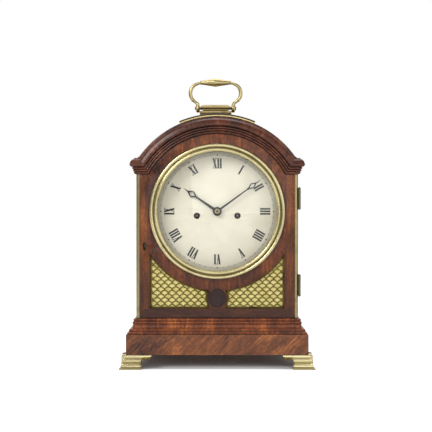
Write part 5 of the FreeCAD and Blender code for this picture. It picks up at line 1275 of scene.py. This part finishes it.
# Floor, lights and camera --------------------------------------------------------------------
def pale_floor():
    """A floor that shows white to the camera, with the clock's shadow left on it.

    Its glow stops under the clock, which leaves painted shade on the floor beneath it: distance from the
    footprint, an oblong, turns it on.
    """
    paint = Paint("floor")
    diffuse = paint.node("BsdfDiffuse", None, Color=(0.80, 0.80, 0.82, 1.0))
    half_wide, half_deep = 0.150, 0.094
    # Painted shade: the glow is left off under the clock's footprint, so the floor there stays dark.
    beyond = (abs(paint.x) - half_wide).math("MAXIMUM", abs(paint.y) - half_deep)
    glow = paint.node("Emission", None, Color=(1.0, 1.0, 1.0, 1.0),
                      Strength=beyond.between(-0.004, 0.006) * 0.62)
    seen = paint.node("LightPath", None, out="Is Camera Ray")
    lit = paint.node("AddShader", None, diffuse, glow)
    material = paint.ends_in(paint.node("MixShader", None, seen, diffuse, lit))
    mesh = bpy.data.meshes.new("floor")
    mesh.from_pydata([(-6, -5, 0), (6, -5, 0), (6, 7, 0), (-6, 7, 0)], [], [(0, 1, 2, 3)])
    mesh.materials.append(material)
    floor = bpy.data.objects.new("floor", mesh)
    bpy.context.scene.collection.objects.link(floor)


def sky():
    """White to the camera and in reflections, dimmer towards the front; a plain level as light."""
    world = bpy.context.scene.world = bpy.data.worlds.new("studio")
    paint = Paint("studio", world)
    behind = paint.node("SeparateXYZ", None, paint.node("TexCoord", out="Generated"), out="Y")
    dim = paint.node("MapRange", None, Value=behind, From_Min=-0.2, From_Max=0.9, To_Min=0.22, To_Max=1.0)
    seen, glossy, through = [
        paint.node("LightPath", out=f"Is {kind} Ray") for kind in ("Camera", "Glossy", "Transmission")]
    white = paint.node("Background", None, (1, 1, 1, 1), dim.math("MAXIMUM", seen))
    plain = paint.node("Background", None, (0.95, 0.97, 1.0, 1), 0.55)
    share = seen.math("MAXIMUM", glossy).math("MAXIMUM", through)
    paint.ends_in(paint.node("MixShader", None, share, plain, white))


def lamp(name, place, target, size, power, colour=(1, 1, 1)):
    """A soft square lamp, in metres and watts, that looks at a target."""
    data = bpy.data.lights.new(name, "AREA")
    data.shape, data.size, data.energy, data.color = "SQUARE", size, power, colour
    holder = bpy.data.objects.new(name, data)
    holder.location = place
    towards = np.array(target) - np.array(place)
    flat = math.hypot(towards[0], towards[1])
    heading = math.atan2(towards[1], towards[0]) - math.pi / 2
    holder.rotation_euler = (math.atan2(flat, -towards[2]), 0, heading)
    bpy.context.scene.collection.objects.link(holder)


CAMERA_BACK = 1.426
IMAGE = 432


def camera():
    """The photographer's place: level with the middle of the clock, square to its face."""
    data = bpy.data.cameras.new("camera")
    data.angle = 2 * math.atan(351 / 1350)
    data.shift_x, data.shift_y = -1.2 / IMAGE, -1.0 / IMAGE
    data.clip_start = 0.05
    holder = bpy.data.objects.new("camera", data)
    holder.location = (0, -CAMERA_BACK, 0.2475)
    holder.rotation_euler = (math.radians(90), 0, 0)
    bpy.context.scene.collection.objects.link(holder)
    bpy.context.scene.camera = holder


def build():
    """Every finish, and every piece in it."""
    feet_brass = brass("feet_brass", (232, 218, 166), (120, 102, 58), rough=0.1, age=0.25)
    bright_brass = brass("bright_brass", (222, 206, 152), (128, 108, 64), rough=0.2, age=0.3)
    old_brass = brass("old_brass", (196, 176, 122), (98, 82, 50), rough=0.24, age=0.7)
    # Dark door-edge brass: tarnish, with painted shade as well.
    strip_brass_tarnish_and_shade = brass("strip_brass_tarnish_and_shade", (176, 162, 118), (96, 84, 54), rough=0.26, age=0.8)
    bezel_brass = brass("bezel_brass", (218, 206, 156), (118, 104, 66), rough=0.18, age=0.3)
    handle_brass = brass("handle_brass", (196, 180, 128), (112, 92, 56), rough=0.24, age=0.4)
    pad_brass = brass("pad_brass", (226, 208, 150), (150, 130, 84), rough=0.28, age=0.3, hollows=0.15)
    # Dark olive fret brass: tarnish, with painted shade as well.
    fret_brass_tarnish_and_shade = brass("fret_brass_tarnish_and_shade", (118, 104, 54), (74, 64, 32), rough=0.42, age=0.8)
    knuckle_brass = brass("knuckle_brass", (118, 110, 78), (66, 60, 38), rough=0.32, age=0.6)
    plate_brass = brass("plate_brass", (206, 174, 112), (140, 112, 66), rough=0.3, age=0.5,
                        brushed=(40, 40, 1200))
    dark_steel = steel("dark_steel", (120, 120, 124))
    screws = steel("screw_steel", (92, 90, 88))
    pin_steel = steel("pin_steel", (46, 42, 36), 0.4)
    gold_silk = silk("gold_silk", (246, 230, 148), (224, 206, 118))
    base_mouldings()
    cornice()
    carcase()
    feet(feet_brass)
    pad(pad_brass)
    cushion(old_brass)
    handle(handle_brass)
    door(strip_brass_tarnish_and_shade, bezel_brass)
    frets(fret_brass_tarnish_and_shade, gold_silk, pin_steel)
    sound_frets(fret_brass_tarnish_and_shade, gold_silk)
    hinges(knuckle_brass, screws)
    lock(plate_brass, dark_steel)
    dial_and_hands(old_brass, dark_steel)
    bell_piece()
    pendulum_piece(bright_brass, dark_steel)
    movement(plate_brass, old_brass, dark_steel)


def studio():
    """Plain light from the left front, weaker from the right, the front and above."""
    bpy.context.scene.view_settings.view_transform = "Standard"
    pale_floor()
    sky()
    lamp("key", (-1.4, -1.9, 1.7), (0, 0, 0.2), 1.1, 34)
    lamp("fill", (1.9, -1.5, 0.9), (0, 0, 0.22), 1.6, 11)
    lamp("front", (0.25, -2.5, 0.9), (0, 0, 0.25), 1.4, 9)
    lamp("top", (0.1, 0.2, 2.2), (0, 0, 0.3), 1.4, 14)
    camera()


build()
studio()
